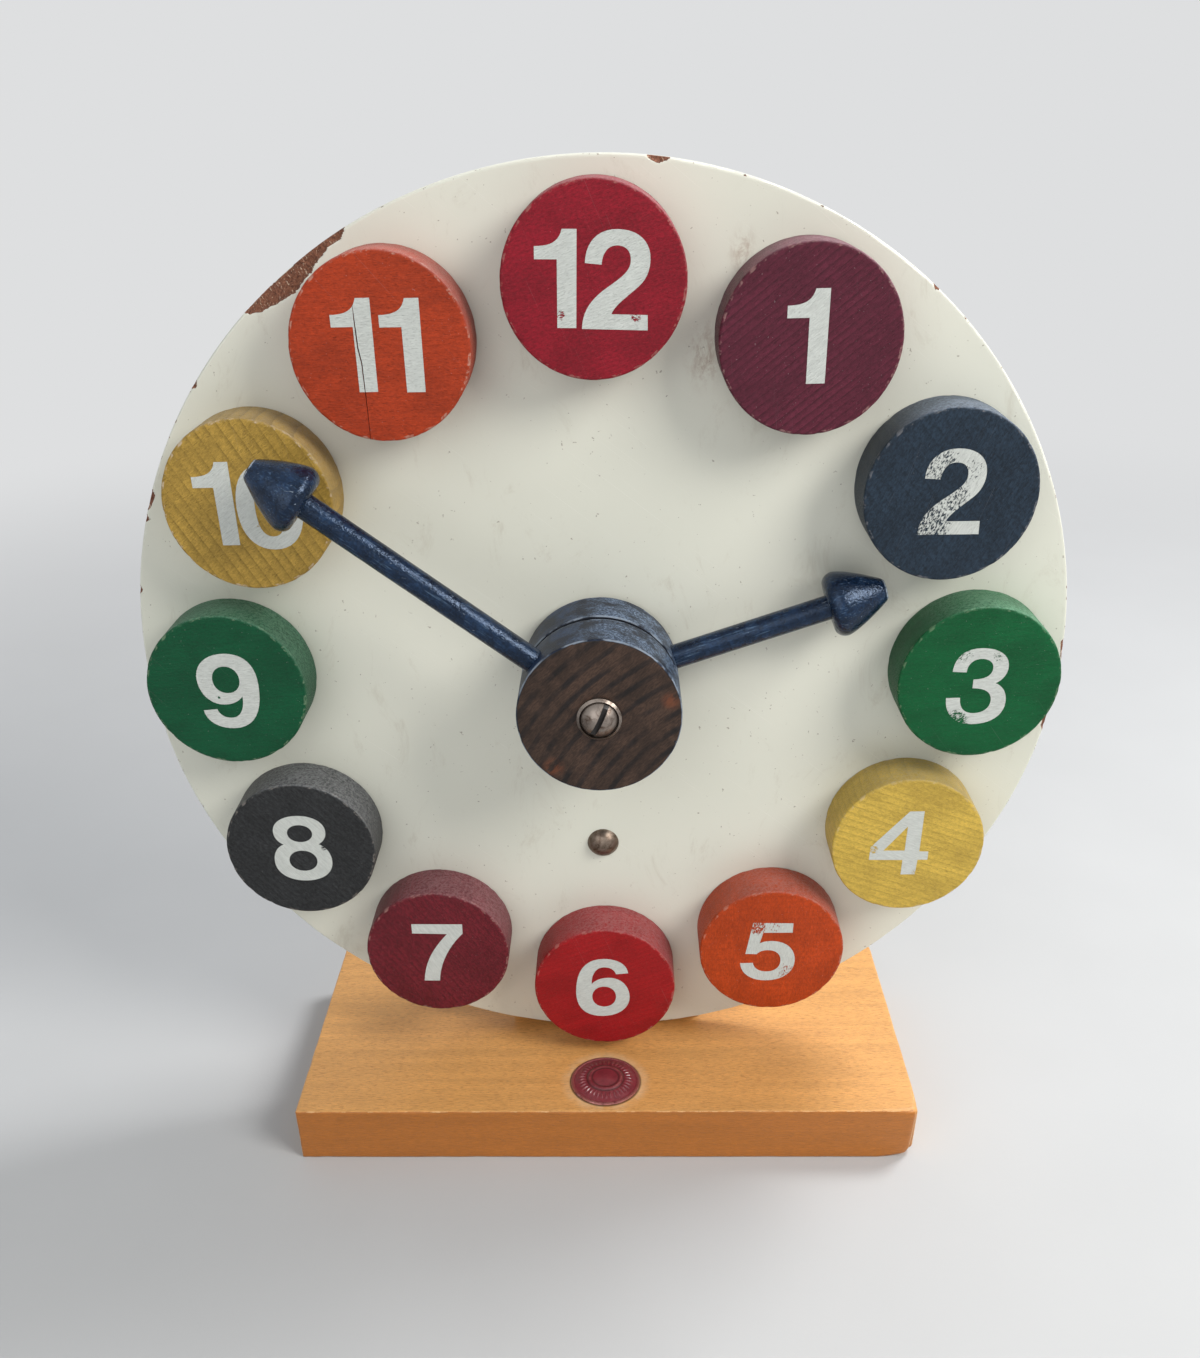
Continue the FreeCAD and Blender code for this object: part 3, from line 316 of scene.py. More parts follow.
# Where each numeral's paint is rubbed off: the turn of the bare specks in degrees, and spots from the
# disc's centre (mm) with their reach and how much is gone.
NUMERAL_WEAR = {
    2: (62, [(-4, 8, 8, 0.23), (0, 0, 7.5, 0.22), (-4.5, -7, 8.5, 0.25), (4, 6.5, 5, 0.18)]),
    3: (30, [(-5, -11, 5.5, 0.3), (-5.5, 8.5, 5, 0.21), (4, 7.6, 2.4, 0.2)]),
    4: (17, [(-9.5, -1, 2.5, 0.24), (3, -8.5, 2.5, 0.22)]),
    5: (80, [(-4.6, 8.8, 4.6, 0.28), (5.2, -7.5, 5, 0.21), (0.5, 9.6, 4.5, 0.19)]),
    8: (0, [(6.6, 0.8, 1.4, 0.28)]),
    9: (0, [(-2.2, -1.7, 0.6, 0.3)]),
    10: (35, [(3.4, -4.6, 3, 0.22)]),
    12: (15, [(-7.6, -6.9, 1.7, 0.27), (9.6, -7.6, 1.9, 0.27)]),
}
NUMERAL_WHITE = rgb(200, 203, 197)
# Flaking noise under this value bares the disc wherever the paint is sound.
SOUND_PAINT = 0.24


def numeral_material(hour, anchor):
    """Thin pale paint over the disc's grain, worn through in places."""
    skin = Surface(f"numeral_paint_{hour}", Specular_IOR_Level=0.25)
    stain, relief = stained_face(skin, hour, anchor)
    angle, spots = NUMERAL_WEAR.get(hour, (0, []))
    loss = SOUND_PAINT
    for across, up, reach, gone in spots:
        middle = anchor + Vector((across, 0, up)) * MM
        away = skin.away_from(middle)
        near = skin.between(away, reach * MM, reach * 0.35 * MM)
        loss = skin.calc("MAXIMUM", loss, skin.ramp(near, gone, SOUND_PAINT))
    grain = (0, -radians(angle), 0)
    flaked = skin.noise((1, 0.4, 0.4), 5, 0.72, 0.2, grain, anchor)
    worn = skin.between(skin.calc("SUBTRACT", loss, flaked), -0.02, 0.02)
    tint = skin.noise(5, 3, 0.6, anchor=anchor)
    paint = skin.shade(NUMERAL_WHITE, tint, 0.92, 1.06)
    paint = skin.shade(paint, relief, 0.86, 1.1)
    colour = skin.mix(worn, paint, stain)
    height = skin.calc("SUBTRACT", relief, worn)
    return skin.finish(colour, 0.5, height, 0.05)


# Brown smudges on the dial: place from its centre and reach (mm).
DIAL_SMUDGES = [(26.5, 81, 6.5), (34.5, 104, 4.5)]


def dial_material():
    """Cream satin paint with brush texture, specks and smudges, over brown fibre board."""
    skin = Surface("dial_paint", Specular_IOR_Level=0.5)
    cloud = skin.noise(70, 3, 0.55)
    paint = skin.mix(cloud, rgb(212, 212, 197), rgb(226, 225, 211))
    smudge = skin.patches(0.55, 0.76, (14, 14, 30), 6, 0.78, 0.8)
    paint = skin.lay(paint, rgb(172, 160, 138), smudge, 0.34)
    grubby = skin.patches(0.4, 0.66, (2.6, 2.6, 5), 6, 0.8, 0.4)
    grubby = skin.times(grubby, skin.between(skin.facing("Y"), -0.4, -0.8))
    for across, up, reach in DIAL_SMUDGES:
        middle = CENTRE + Vector((across, 0, up)) * MM
        squeezed = skin.vector("MULTIPLY", skin.vector("SUBTRACT", skin.place, middle), (1, 0, 0.6))
        away = skin.vector("LENGTH", squeezed, output="Value")
        near = skin.between(away, reach * MM, 0)
        share = skin.times(skin.times(near, grubby), 0.62)
        paint = skin.mix(share, paint, rgb(150, 116, 92))
    speck = skin.patches(0.72, 0.75, 1.3, 2, 0.6)
    paint = skin.lay(paint, rgb(126, 112, 94), speck, 0.6)
    scratch_turn = (0, radians(38), 0)
    scratch = skin.patches(0.735, 0.76, (34, 1, 0.12), 1, 0.4, 0.5, scratch_turn)
    paint = skin.lay(paint, rgb(248, 246, 238), scratch, 0.35)
    fibre = skin.noise((0.5, 2.2, 0.5), 5, 0.75, 0.8)
    core = skin.mix(skin.between(fibre, 0.34, 0.62), rgb(78, 44, 32), rgb(142, 92, 68))
    fleck = skin.noise((0.45, 1.2, 1.5), 3, 0.6, 1, (0, radians(-25), 0))
    core = skin.mix(skin.between(fleck, 0.6, 0.66), core, rgb(206, 182, 156))
    ragged = skin.times(skin.calc("SUBTRACT", fibre, 0.5), 0.15)
    bare = skin.between(skin.calc("ADD", skin.attribute("bare"), ragged), 0.46, 0.52)
    edge = skin.times(skin.attribute("edge"), skin.noise(1.6, 5, 0.7))
    bare = skin.calc("MAXIMUM", bare, skin.between(edge, 0.6, 0.63))
    colour = skin.mix(bare, paint, core)
    orange_peel = skin.noise(1.6, 2, 0.5)
    orange_peel = skin.times(orange_peel, 0.08)
    relief = skin.blend(bare, orange_peel, skin.times(fibre, 2.2))
    rough = skin.blend(bare, skin.ramp(cloud, 0.12, 0.3), 0.9)
    return skin.finish(colour, rough, relief, 0.12)


def base_material():
    """Honey lacquer over plain wood: short flecks along the plank, a front painted darker and redder as
    shade, and rubbed edges.
    """
    skin = Surface("base_lacquer", Specular_IOR_Level=0.45, Coat_Weight=0.12, Coat_Roughness=0.3)
    grain = (0, 0, radians(1))
    anchor = Vector((0.02, -0.09, 0.013))
    # Painted shade: the faces that look to the front are made darker and redder.
    front = skin.between(skin.facing("Y"), -0.4, -0.9)
    honey_front_shaded = skin.mix(front, rgb(216, 158, 90), rgb(176, 106, 38))
    colour, relief = wood(skin, honey_front_shaded, anchor, grain, grain, 0.04, 13, "Y", 0.035)
    streak = skin.patches(0.3, 0.7, (60, 3, 3), 4, 0.6, 0.2, grain, anchor)
    colour = skin.shade(colour, streak, 0.94, 1.06)
    fleck = skin.noise((2.2, 0.34, 0.34), 2, 0.5, 0, grain, anchor)
    flecks = skin.times(skin.between(fleck, 0.58, 0.67), 0.46)
    colour = skin.mix(flecks, colour, rgb(160, 100, 44))
    speck = skin.patches(0.76, 0.79, (1.2, 0.8, 0.8), 2, 0.5, 0, grain, anchor)
    colour = skin.lay(colour, rgb(112, 62, 30), speck, 0.5)
    patchy = skin.noise(4, 5, 0.7, anchor=anchor)
    low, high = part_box("badge_tack")
    tack_radius = (high.x - low.x) / 2
    under_tack = (low + high) / 2
    under_tack.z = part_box("base_plank")[1].z
    from_tack = skin.away_from(under_tack)
    halo = skin.between(from_tack, tack_radius + 4 * MM, tack_radius + 0.4 * MM)
    halo = skin.times(halo, skin.between(patchy, 0.25, 0.65))
    halo = skin.times(halo, skin.between(skin.facing("Z"), 0.6, 0.95))
    colour = skin.lay(colour, rgb(232, 208, 172), halo, 0.4)
    # Painted shade: a thin dark ring on the board round the foot of the tack.
    painted_shade = skin.between(from_tack, tack_radius + 0.7 * MM, tack_radius + 0.1 * MM)
    colour = skin.lay(colour, rgb(70, 36, 24), painted_shade, 0.75)
    rubbed = skin.rubbed(patchy, 0.46, 0.56)
    colour = skin.lay(colour, rgb(236, 200, 146), rubbed, 0.5)
    rough = skin.ramp(patchy, 0.2, 0.28)
    return skin.finish(colour, rough, relief, 0.03)


# The minute hub's growth rings bend round a point to the lower right of its screw (mm).
RING_CENTRE = (45, -45)
# Redder spots on its front: place from the screw and reach (mm).
RUSTY_SPOTS = [(-12, -14, 1.8), (18, 4.5, 1.6)]


def hub_material():
    """Blue-black stain rubbed to a paler blue, and a bare dark brown front where marked."""
    skin = Surface("hub_stain", Specular_IOR_Level=0.28)
    pith = CENTRE + Vector((RING_CENTRE[0], 0, RING_CENTRE[1])) * MM
    sockets = {"Vector": skin.grid((3.9, 30, 3.9), anchor=pith), "Scale": ONE_RING, "Distortion": 1.3,
               "Detail": 2, "Detail Scale": 0.25, "Detail Roughness": 0.6}
    shape = {"wave_type": "RINGS", "rings_direction": "Y", "wave_profile": "SIN"}
    wave = skin.node("TexWave", sockets, **shape).outputs["Fac"]
    grain = (0, radians(-45), 0)
    fibre = skin.noise((1.6, 0.34, 0.34), 5, 0.72, 0.3, grain, CENTRE)
    fade = skin.noise((12, 7, 7), 3, 0.6, 0.5, grain, CENTRE)
    late = skin.times(skin.between(wave, 0.45, 0.95), skin.between(fade, 0.3, 0.62))
    brown = skin.mix(skin.times(late, 0.95), rgb(60, 44, 35), rgb(24, 20, 20))
    cloud = skin.noise(9, 3, 0.6, 0.5, grain, CENTRE)
    brown = skin.shade(brown, skin.between(cloud, 0.35, 0.65), 0.68, 1.25)
    brown = skin.shade(brown, skin.between(fibre, 0.36, 0.64), 0.66, 1.36)
    rusty = skin.noise((5, 2.6, 2.6), 4, 0.7, 0.4, grain, pith)
    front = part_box("minute_hub")[0].y
    for across, up, reach in RUSTY_SPOTS:
        middle = Vector((CENTRE.x + across * MM, front, CENTRE.z + up * MM))
        away = skin.away_from(middle)
        near = skin.between(away, reach * 2 * MM, reach * 0.3 * MM)
        glow = skin.times(near, skin.between(rusty, 0.36, 0.56))
        brown = skin.lay(brown, rgb(132, 72, 42), glow, 0.5)
    powder = skin.noise(0.7, 5, 0.78, anchor=CENTRE)
    worn = skin.noise((7, 5, 7), 4, 0.6, 0.3, anchor=CENTRE)
    blue = skin.mix(skin.between(worn, 0.38, 0.66), rgb(15, 25, 44), rgb(34, 53, 82))
    blue = skin.shade(blue, skin.between(powder, 0.36, 0.64), 0.6, 1.5)
    rubbed = skin.rubbed(worn, 0.42, 0.56)
    blue = skin.lay(blue, rgb(168, 178, 188), rubbed, 0.55)
    # Painted highlight over real powder: the sides that face up and to the right are laid over with pale
    # blue.
    light = skin.ramp(skin.facing("X"), 0.7, skin.facing("Z"))
    up_and_lit_sides = skin.between(light, 0.55, 1.3)
    dust_and_sheen = skin.times(up_and_lit_sides, skin.between(powder, 0.44, 0.6))
    dust_and_sheen = skin.times(dust_and_sheen, skin.between(worn, 0.36, 0.54))
    blue = skin.lay(blue, rgb(140, 160, 184), dust_and_sheen, 0.8)
    shaded = skin.between(skin.facing("Y"), -0.85, -0.98)
    blue = skin.mix(shaded, blue, rgb(22, 26, 34))
    bare = skin.between(skin.attribute("bare"), 0.4, 0.6)
    colour = skin.mix(bare, blue, brown)
    rough = skin.blend(bare, skin.ramp(powder, 0.25, 0.34), 0.48)
    height = skin.blend(bare, powder, fibre)
    return skin.finish(colour, rough, height, 0.07)


def lacquer_material(name, hand_turn):
    """Glossy blue-black lacquer, pitted, with brush lines along a hand and paler rubbed edges."""
    skin = Surface(name, Specular_IOR_Level=0.45, Specular_Tint=rgb(196, 220, 255))
    along = (0, hand_turn, 0)
    pit = skin.noise((0.8, 0.6, 0.6), 2, 0.55, 0.3, along)
    worn = skin.noise(4.5, 5, 0.7, 0.3)
    colour = skin.mix(skin.between(worn, 0.36, 0.74), rgb(10, 20, 36), rgb(24, 43, 68))
    colour = skin.shade(colour, skin.between(pit, 0.3, 0.7), 0.7, 1.4)
    brushed = skin.noise((7, 0.42, 0.42), 3, 0.6, 0.2, along)
    lines = skin.times(skin.between(brushed, 0.56, 0.7), skin.between(worn, 0.36, 0.6))
    colour = skin.lay(colour, rgb(112, 138, 164), lines, 0.34)
    rubbed = skin.rubbed(worn, 0.4, 0.5)
    colour = skin.lay(colour, rgb(170, 182, 194), rubbed, 0.8)
    scrape = skin.patches(0.72, 0.76, (3.4, 0.4, 0.5), 2, 0.5, 0.8)
    colour = skin.lay(colour, rgb(160, 172, 184), scrape, 0.6)
    rough = skin.ramp(worn, 0.2, 0.08)
    relief = skin.ramp(brushed, 0.3, pit)
    return skin.finish(colour, rough, relief, 0.14)


def metal_material(name, colour, stain, rough, slot_turn=None):
    """Aged metal: brown tarnish, small pits and, with a slot's turn, painted shade down a slot at CENTRE.
    """
    skin = Surface(name, Metallic=1)
    tarnish = skin.noise(2.4, 5, 0.7, 0.5)
    tone = skin.mix(skin.between(tarnish, 0.42, 0.72), colour, stain)
    pit = skin.noise(0.3, 3, 0.65)
    tone = skin.shade(tone, pit, 0.84, 1.14)
    if slot_turn is not None:
        across = Vector((cos(slot_turn), 0, -sin(slot_turn)))
        from_centre = skin.vector("SUBTRACT", skin.place, CENTRE)
        side = skin.vector("DOT_PRODUCT", from_centre, across, "Value")
        # Painted shade down the slot, where the surface is also made non-metallic.
        painted_shade = skin.between(skin.calc("ABSOLUTE", side), 0.78 * MM, 0.62 * MM)
        tone = skin.mix(painted_shade, tone, rgb(26, 20, 17))
        skin.put(skin.shader.inputs["Metallic"], skin.calc("SUBTRACT", 1, painted_shade))
    gloss = skin.calc("ADD", skin.times(tarnish, 0.3), rough)
    return skin.finish(tone, gloss, pit, 0.012)


# Middle of the badge's pressed ring, as a share of its radius.
RING_REACH = 0.46


def enamel_material():
    """Dark red enamel on a pressed tack, rubbed to the metal at its rim."""
    skin = Surface("badge_enamel", Specular_IOR_Level=0.6, Coat_Weight=0.5, Coat_Roughness=0.2)
    cloud = skin.noise(2, 5, 0.7, 0.5)
    colour = skin.mix(cloud, rgb(74, 21, 29), rgb(150, 54, 64))
    low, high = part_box("badge_tack")
    crown = (low + high) / 2
    crown.z = high.z
    from_ring = skin.calc("SUBTRACT", skin.away_from(crown), RING_REACH * (high.x - low.x) / 2)
    # Painted shade on both flanks of the pressed ring.
    painted_shade = skin.between(skin.calc("ABSOLUTE", from_ring), 1.3 * MM, 0.8 * MM)
    painted_shade = skin.times(painted_shade, skin.between(skin.attribute("edge"), 0.5, 0.1))
    colour = skin.lay(colour, rgb(46, 22, 20), painted_shade, 0.7)
    rubbed = skin.rubbed(cloud, 0.34, 0.5)
    colour = skin.lay(colour, rgb(190, 128, 122), rubbed, 0.8)
    skin.put(skin.shader.inputs["Metallic"], skin.times(rubbed, 0.8))
    rough = skin.ramp(cloud, 0.3, 0.2)
    return skin.finish(colour, rough, cloud, 0.06)


def board_material(name, colour, grain, rings, plies=0):
    """Plain planed wood, or plywood whose glued layers show on its edges."""
    skin = Surface(name, Specular_IOR_Level=0.35)
    anchor = Vector((0.031, 0.017, 0.023))
    tone, relief = wood(skin, colour, anchor, grain, grain, rings, 5, cloudy=0.06)
    if plies:
        depth = skin.node("SeparateXYZ", {0: skin.grid(plies)}).outputs["Y"]
        layer = skin.calc("PINGPONG", depth, 1)
        dark = skin.mix(skin.between(layer, 0.42, 0.58), tone, skin.shade(tone, 0.5, 0.76, 0.76))
        side = skin.between(skin.calc("ABSOLUTE", skin.facing("Y")), 0.8, 0.5)
        tone = skin.mix(side, tone, dark)
    rough = skin.ramp(relief, 0.15, 0.5)
    return skin.finish(tone, rough, relief, 0.06)


# Meshes
def new_piece(name, mesh, body, material, replaced=()):
    """Piece that rides on a body, shows a material and may stand for CAD nodes."""
    piece = add_object(name, mesh)
    mesh.materials.append(material)
    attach(piece, body)
    if replaced:
        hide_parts(*replaced)
    return piece


def to_mesh(work, name, place, sharp=35):
    """Finished mesh of a bmesh, moved to its place, smooth but for its sharp edges."""
    bmesh.ops.transform(work, matrix=place, verts=work.verts)
    bmesh.ops.recalc_face_normals(work, faces=work.faces)
    for face in work.faces:
        face.smooth = True
    mesh = bpy.data.meshes.new(name)
    work.to_mesh(mesh)
    work.free()
    mesh.set_sharp_from_angle(angle=radians(sharp))
    return mesh


def eased(corners, guard=0.7, steps=4):
    """Profile of (radius, height, edge) points from (radius, height, rounding) corners, in mm."""
    points = []
    for index, (radius, height, rounding) in enumerate(corners):
        here = Vector((radius, height))
        if not rounding:
            points.append((radius, height, 0.0))
            continue
        before = Vector(corners[index - 1][:2]) - here
        after = Vector(corners[(index + 1) % len(corners)][:2]) - here
        start = here + before.normalized() * rounding
        end = here + after.normalized() * rounding
        if before.length > 2 * (rounding + guard):
            points.append((*(here + before.normalized() * (rounding + guard)), 0.0))
        for step in range(steps + 1):
            share = step / steps
            spot = start * (1 - share) ** 2 + here * 2 * share * (1 - share) + end * share**2
            points.append((*spot, 1.0))
        if after.length > 2 * (rounding + guard):
            points.append((*(here + after.normalized() * (rounding + guard)), 0.0))
    return points


def lathe(profile, segments=128, closed=False, wear=0.0, seed=0.0):
    """Turned shape about Z in metres; wear in mm takes small dents out of its marked edges."""
    work = bmesh.new()
    edge = work.verts.layers.float.new("edge")
    middle = Vector([sum(values) / len(profile) for values in zip(*profile)][:2])
    rings = []
    for radius, height, mark in profile:
        loop = []
        inward = (middle - Vector((radius, height))).normalized()
        for index in range(segments if radius > 1e-6 else 1):
            angle = 2 * pi * index / segments
            spot = Vector((cos(angle), sin(angle), height * 0.15)) * 9 + Vector((seed, 0, 0))
            dent = mark * wear * max(0, noise.noise(spot) + 0.35 * noise.noise(spot * 4.1))
            out = (radius + inward.x * dent) * MM
            up = (height + inward.y * dent) * MM
            vert = work.verts.new((out * cos(angle), out * sin(angle), up))
            vert[edge] = mark
            loop.append(vert)
        rings.append(loop)
    pairs = list(zip(rings, rings[1:]))
    if closed:
        pairs.append((rings[-1], rings[0]))
    for lower, upper in pairs:
        for index in range(segments):
            after = (index + 1) % segments
            if len(lower) == 1:
                work.faces.new((lower[0], upper[after], upper[index]))
            elif len(upper) == 1:
                work.faces.new((lower[index], lower[after], upper[0]))
            else:
                work.faces.new((lower[index], lower[after], upper[after], upper[index]))
    return work


def facing_front(centre, depth):
    """Place of a shape made about Z: its foot at a depth in mm, its top towards the front."""
    return Matrix.Translation((centre.x, depth * MM, centre.z)) @ Matrix.Rotation(pi / 2, 4, "X")


def span(node):
    """Lowest and highest corner of a node in mm."""
    low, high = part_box(node)
    return low / MM, high / MM


def steps_between(first, last, count):
    """Evenly spaced values, both ends included."""
    return [first + (last - first) * index / count for index in range(count + 1)]


# Chips on the dial's front edge: clock angle in degrees and depth from the rim (mm) along each.
DIAL_CHIPS = [
    [(317.8, 0), (318.3, 1.4), (319.5, 2.8), (322, 4.2), (324, 4.8), (326, 3.9), (328.5, 2.5),
     (330, 1.6), (331.4, 1.7), (332.2, 0.8), (332.5, 0)],
    [(5.4, 0), (6, 0.9), (6.9, 1.4), (7.7, 0.7), (8.1, 0)],
    [(306.9, 0), (307.6, 0.9), (308.4, 0)],
    [(291, 0), (291.8, 0.8), (293.2, 1.2), (294.1, 0)],
    [(289.5, 0), (290.2, 0.9), (290.9, 0)],
    [(280.3, 0), (281, 0.8), (281.8, 0)],
    [(39.4, 0), (40, 0.7), (40.7, 0)],
    [(86.6, 0), (87.3, 0.9), (88.6, 0.6), (90, 0)],
    [(96, 0), (97.2, 1.3), (98.6, 1), (99.7, 0)],
    [(249.5, 0), (250, 0.5), (250.6, 0)],
    [(125.4, 0), (126.2, 0.6), (127, 0)],
]
# Gap between the dial's bore and the sleeve in it, and the depth of a chip's broken side (mm).
BORE_GAP = 0.05
BROKEN_SIDE = 2.6


def chip_at(angle):
    """Depth from the rim that the chips take away at a clock angle, in mm."""
    for chip in DIAL_CHIPS:
        for (start, first), (end, last) in zip(chip, chip[1:]):
            if start <= angle < end:
                share = (angle - start) / (end - start)
                share = share * share * (3 - 2 * share)
                ripple = 1 + 0.14 * noise.noise(Vector((angle * 2.6, 0, 0)))
                return (first + (last - first) * share) * ripple
    return 0.0


def make_dial():
    """Board with a rounded front edge, broken in places down to its fibre core."""
    low, high = span("dial_panel")
    rim = (high.x - low.x) / 2
    thick = high.y - low.y
    sleeve_low, sleeve_high = span("hour_sleeve")
    bore = (sleeve_high.x - sleeve_low.x) / 2 + BORE_GAP
    profile = [(bore, 0, 0), (bore, thick, 0)]
    profile += [(radius, thick, 0) for radius in (10, 25, 45, 65, 85, 100, 112)]
    profile += [(radius, thick, 0) for radius in steps_between(rim - 7, rim - 0.6, 20)]
    profile += [(rim - 0.3, thick - 0.07, 1), (rim - 0.07, thick - 0.3, 1)]
    profile += [(rim, height, 0) for height in steps_between(thick - 0.6, 0.4, 9)]
    profile += [(rim - 0.12, 0.12, 1), (rim - 0.5, 0, 0), (110, 0, 0), (60, 0, 0)]
    work = lathe(profile, segments=1500, closed=True, wear=0.25, seed=3.1)
    bare = work.verts.layers.float.new("bare")
    for vert in work.verts:
        across, up, height = vert.co / MM
        radius = hypot(across, up)
        if radius < rim - 8:
            continue
        angle = degrees(atan2(across, up)) % 360
        depth = chip_at(angle)
        inside = radius - (rim - depth)
        if depth < 0.15 or inside <= -0.4:
            continue
        fray = noise.noise(Vector((across, up, 0)) * 0.9) + 0.5 * noise.noise(Vector((across, up, 9)) * 2.3)
        vert[bare] = min(1, max(0, inside / 0.35 + 0.5)) if height > thick - BROKEN_SIDE else 0.0
        if inside <= 0:
            continue
        drop = min(1, inside / 0.5) * (0.5 + 0.16 * depth) + 0.28 * inside
        drop += 0.28 * fray * min(1, inside / 0.6)
        floor = thick - max(0.05, drop)
        if height > floor:
            vert.co.z = (floor + 0.02 * (height - floor)) * MM
            pull = 1 - 0.35 * min(1, depth / 4) * (0.7 + 0.6 * fray) * min(1, inside / depth) / radius
            vert.co.x *= pull
            vert.co.y *= pull
    mesh = to_mesh(work, "dial_board", facing_front(CENTRE, high.y), 30)
    new_piece("dial_board", mesh, "stand", dial_material(), ["dial_panel"])


# Digit outlines in hundredths of their height, from the lower left. Between commas, two numbers end a
# straight run and six end a curve after its two handles. The nine is the six turned round.
DIGITS = {
    "0": [
        """39.5 102, 64 102 79 83 79 50, 79 17 64 -1.5 39.5 -1.5, 15 -1.5 0 17 0 50,
        0 83 15 102 39.5 102""",
        """39.5 86, 52 86 57 72 57 50, 57 28 52 14.5 39.5 14.5, 27 14.5 22 28 22 50,
        22 72 27 86 39.5 86""",
    ],
    "1": [
        """0 70, 0 83, 17 83 27 87 30 100, 46 100, 45.5 0, 24.5 0, 24.5 70""",
    ],
    "2": [
        """0 0, 72.7 0, 72 16, 32 16, 36 26 50 35 61 45, 69 52 72.7 61 72.7 72,
        72.7 90 59 101.5 37 101.5, 15 101.5 2 88 2 67.3, 20 66, 21 79 27 85.5 37 85.5,
        46 85.5 51.5 80 51.5 71, 51.5 60 42 54 28 44, 10 32 0 19 0 0""",
    ],
    "3": [
        """0 36, 0 13 15 -1.5 37 -1.5, 61 -1.5 76 10 76 29, 76 43 69 52 60 55.5, 69 60 73.5 68 73.5 77,
        73.5 94 58 103.5 37 103.5, 15 103.5 4.5 90 4.3 72, 21.7 71, 22 83 29 89 38.5 89,
        49 89 54.5 83 54.5 76, 54.5 66 46 61 31.7 61, 31.7 49, 48 49 57 43 57 31, 57 20 48 14 37 14,
        24 14 18 23 17.7 36""",
    ],
    "4": [
        """0 24.5, 1 45, 49 100, 68.5 100, 67.5 37, 80 36.5, 80 23.5, 66.5 23.5, 65 0, 45.5 0, 46 23.5""",
        """18.5 39, 47.5 38.5, 48.5 77""",
    ],
    "5": [
        """16 100, 72.7 99, 72.7 83, 31 83, 26.7 64.5, 31 67 37 68.5 43 68.5, 64 68.5 78.5 55 78.5 33.5,
        78.5 12 61 -1.5 38.5 -1.5, 16 -1.5 2 11 0 29.5, 18.5 30, 20 20 28 14.5 38.5 14.5,
        51 14.5 58 22 58 33.5, 58 45 51 52.5 39 52.5, 32 52.5 26 50 23.5 45.5, 7 46""",
    ],
    "6": [
        """76.5 77, 75 93 61 103 41 103, 12 103 0 78 0 42, 0 14 13 -1.5 38.5 -1.5,
        62 -1.5 78.5 13 78.5 33.5, 78.5 54 66 69 48 69, 38 69 28 65 23 57.5, 23 78 31 88 42 88,
        51 88 57 83 58.7 75.5""",
        """41 53, 51 53 58.5 45.5 58.5 34.5, 58.5 23.5 51 16 41 16, 31 16 23.5 23.5 23.5 34.5,
        23.5 45.5 31 53 41 53""",
    ],
    "7": [
        """0 84, 0 100, 72.7 100, 72.5 84, 52 62 37 33 34.5 0, 12 0, 15 36 31 61 50 83""",
    ],
    "8": [
        """40 102.7, 60 102.7 76 93 76 77.5, 76 68 71 61 64 57.5, 75 53 80 42 80 30,
        80 10 63 -1.5 40 -1.5, 17 -1.5 0 10 0 30, 0 42 5 53 16 57.5, 9 61 4 68 4 77.5,
        4 93 20 102.7 40 102.7""",
        """40.3 88.2, 50 88.2 57.6 82.5 57.6 74.7, 57.6 67 50 61.2 40.3 61.2, 30.5 61.2 23 67 23 74.7,
        23 82.5 30.5 88.2 40.3 88.2""",
        """40 47.5, 51 47.5 59.5 40.5 59.5 31, 59.5 21.5 51 14.5 40 14.5, 29 14.5 20.5 21.5 20.5 31,
        20.5 40.5 29 47.5 40 47.5""",
    ],
}
# Sum of the six's and the nine's shares at the same point, across and up.
NINE_TURN = (0.785, 1.015)
DIGIT_HEIGHT = 20.7
DIGIT_THICKNESS = 0.05
# Lower left corner of each digit from its disc's centre (mm), and its lean in degrees.
DIGIT_PLACES = {
    1: [("1", -5.7, -9.45, 0.4)],
    2: [("2", -7.3, -9.45, 0)],
    3: [("3", -8.1, -11.4, 0.4)],
    4: [("4", -10.5, -9.5, 0.5)],
    5: [("5", -9.15, -10.3, 0)],
    6: [("6", -8.7, -10.4, 0)],
    7: [("7", -7.3, -10.1, -0.6)],
    8: [("8", -8, -9.9, 0)],
    9: [("9", -7.4, -10.5, 0)],
    10: [("1", -12.7, -9.8, 0.3), ("0", -2.75, -10.7, 0)],
    11: [("1", -10.7, -9.7, 0.2), ("1", 0.5, -9.9, 0.2)],
    12: [("1", -13.5, -9.4, -1.2), ("2", -2.8, -9.8, -2.2)],
}
CURVE_STEPS = 10


def digit_outlines(digit):
    """Closed outlines of a digit as lists of points, in shares of its height."""
    if digit == "9":
        return [[Vector(NINE_TURN) - point for point in line] for line in digit_outlines("6")]
    outlines = []
    for path in DIGITS[digit]:
        entries = [[float(number) / 100 for number in entry.split()] for entry in path.split(",")]
        line = [Vector(entries[0])]
        for entry in entries[1:]:
            if len(entry) == 2:
                line.append(Vector(entry))
                continue
            start = line[-1]
            first, second, end = (Vector(entry[index:index + 2]) for index in (0, 2, 4))
            for step in range(1, CURVE_STEPS + 1):
                share = step / CURVE_STEPS
                rest = 1 - share
                spot = start * rest**3 + first * 3 * rest**2 * share
                line.append(spot + second * 3 * rest * share**2 + end * share**3)
        if (line[0] - line[-1]).length < 1e-4:
            line.pop()
        outlines.append(line)
    return outlines


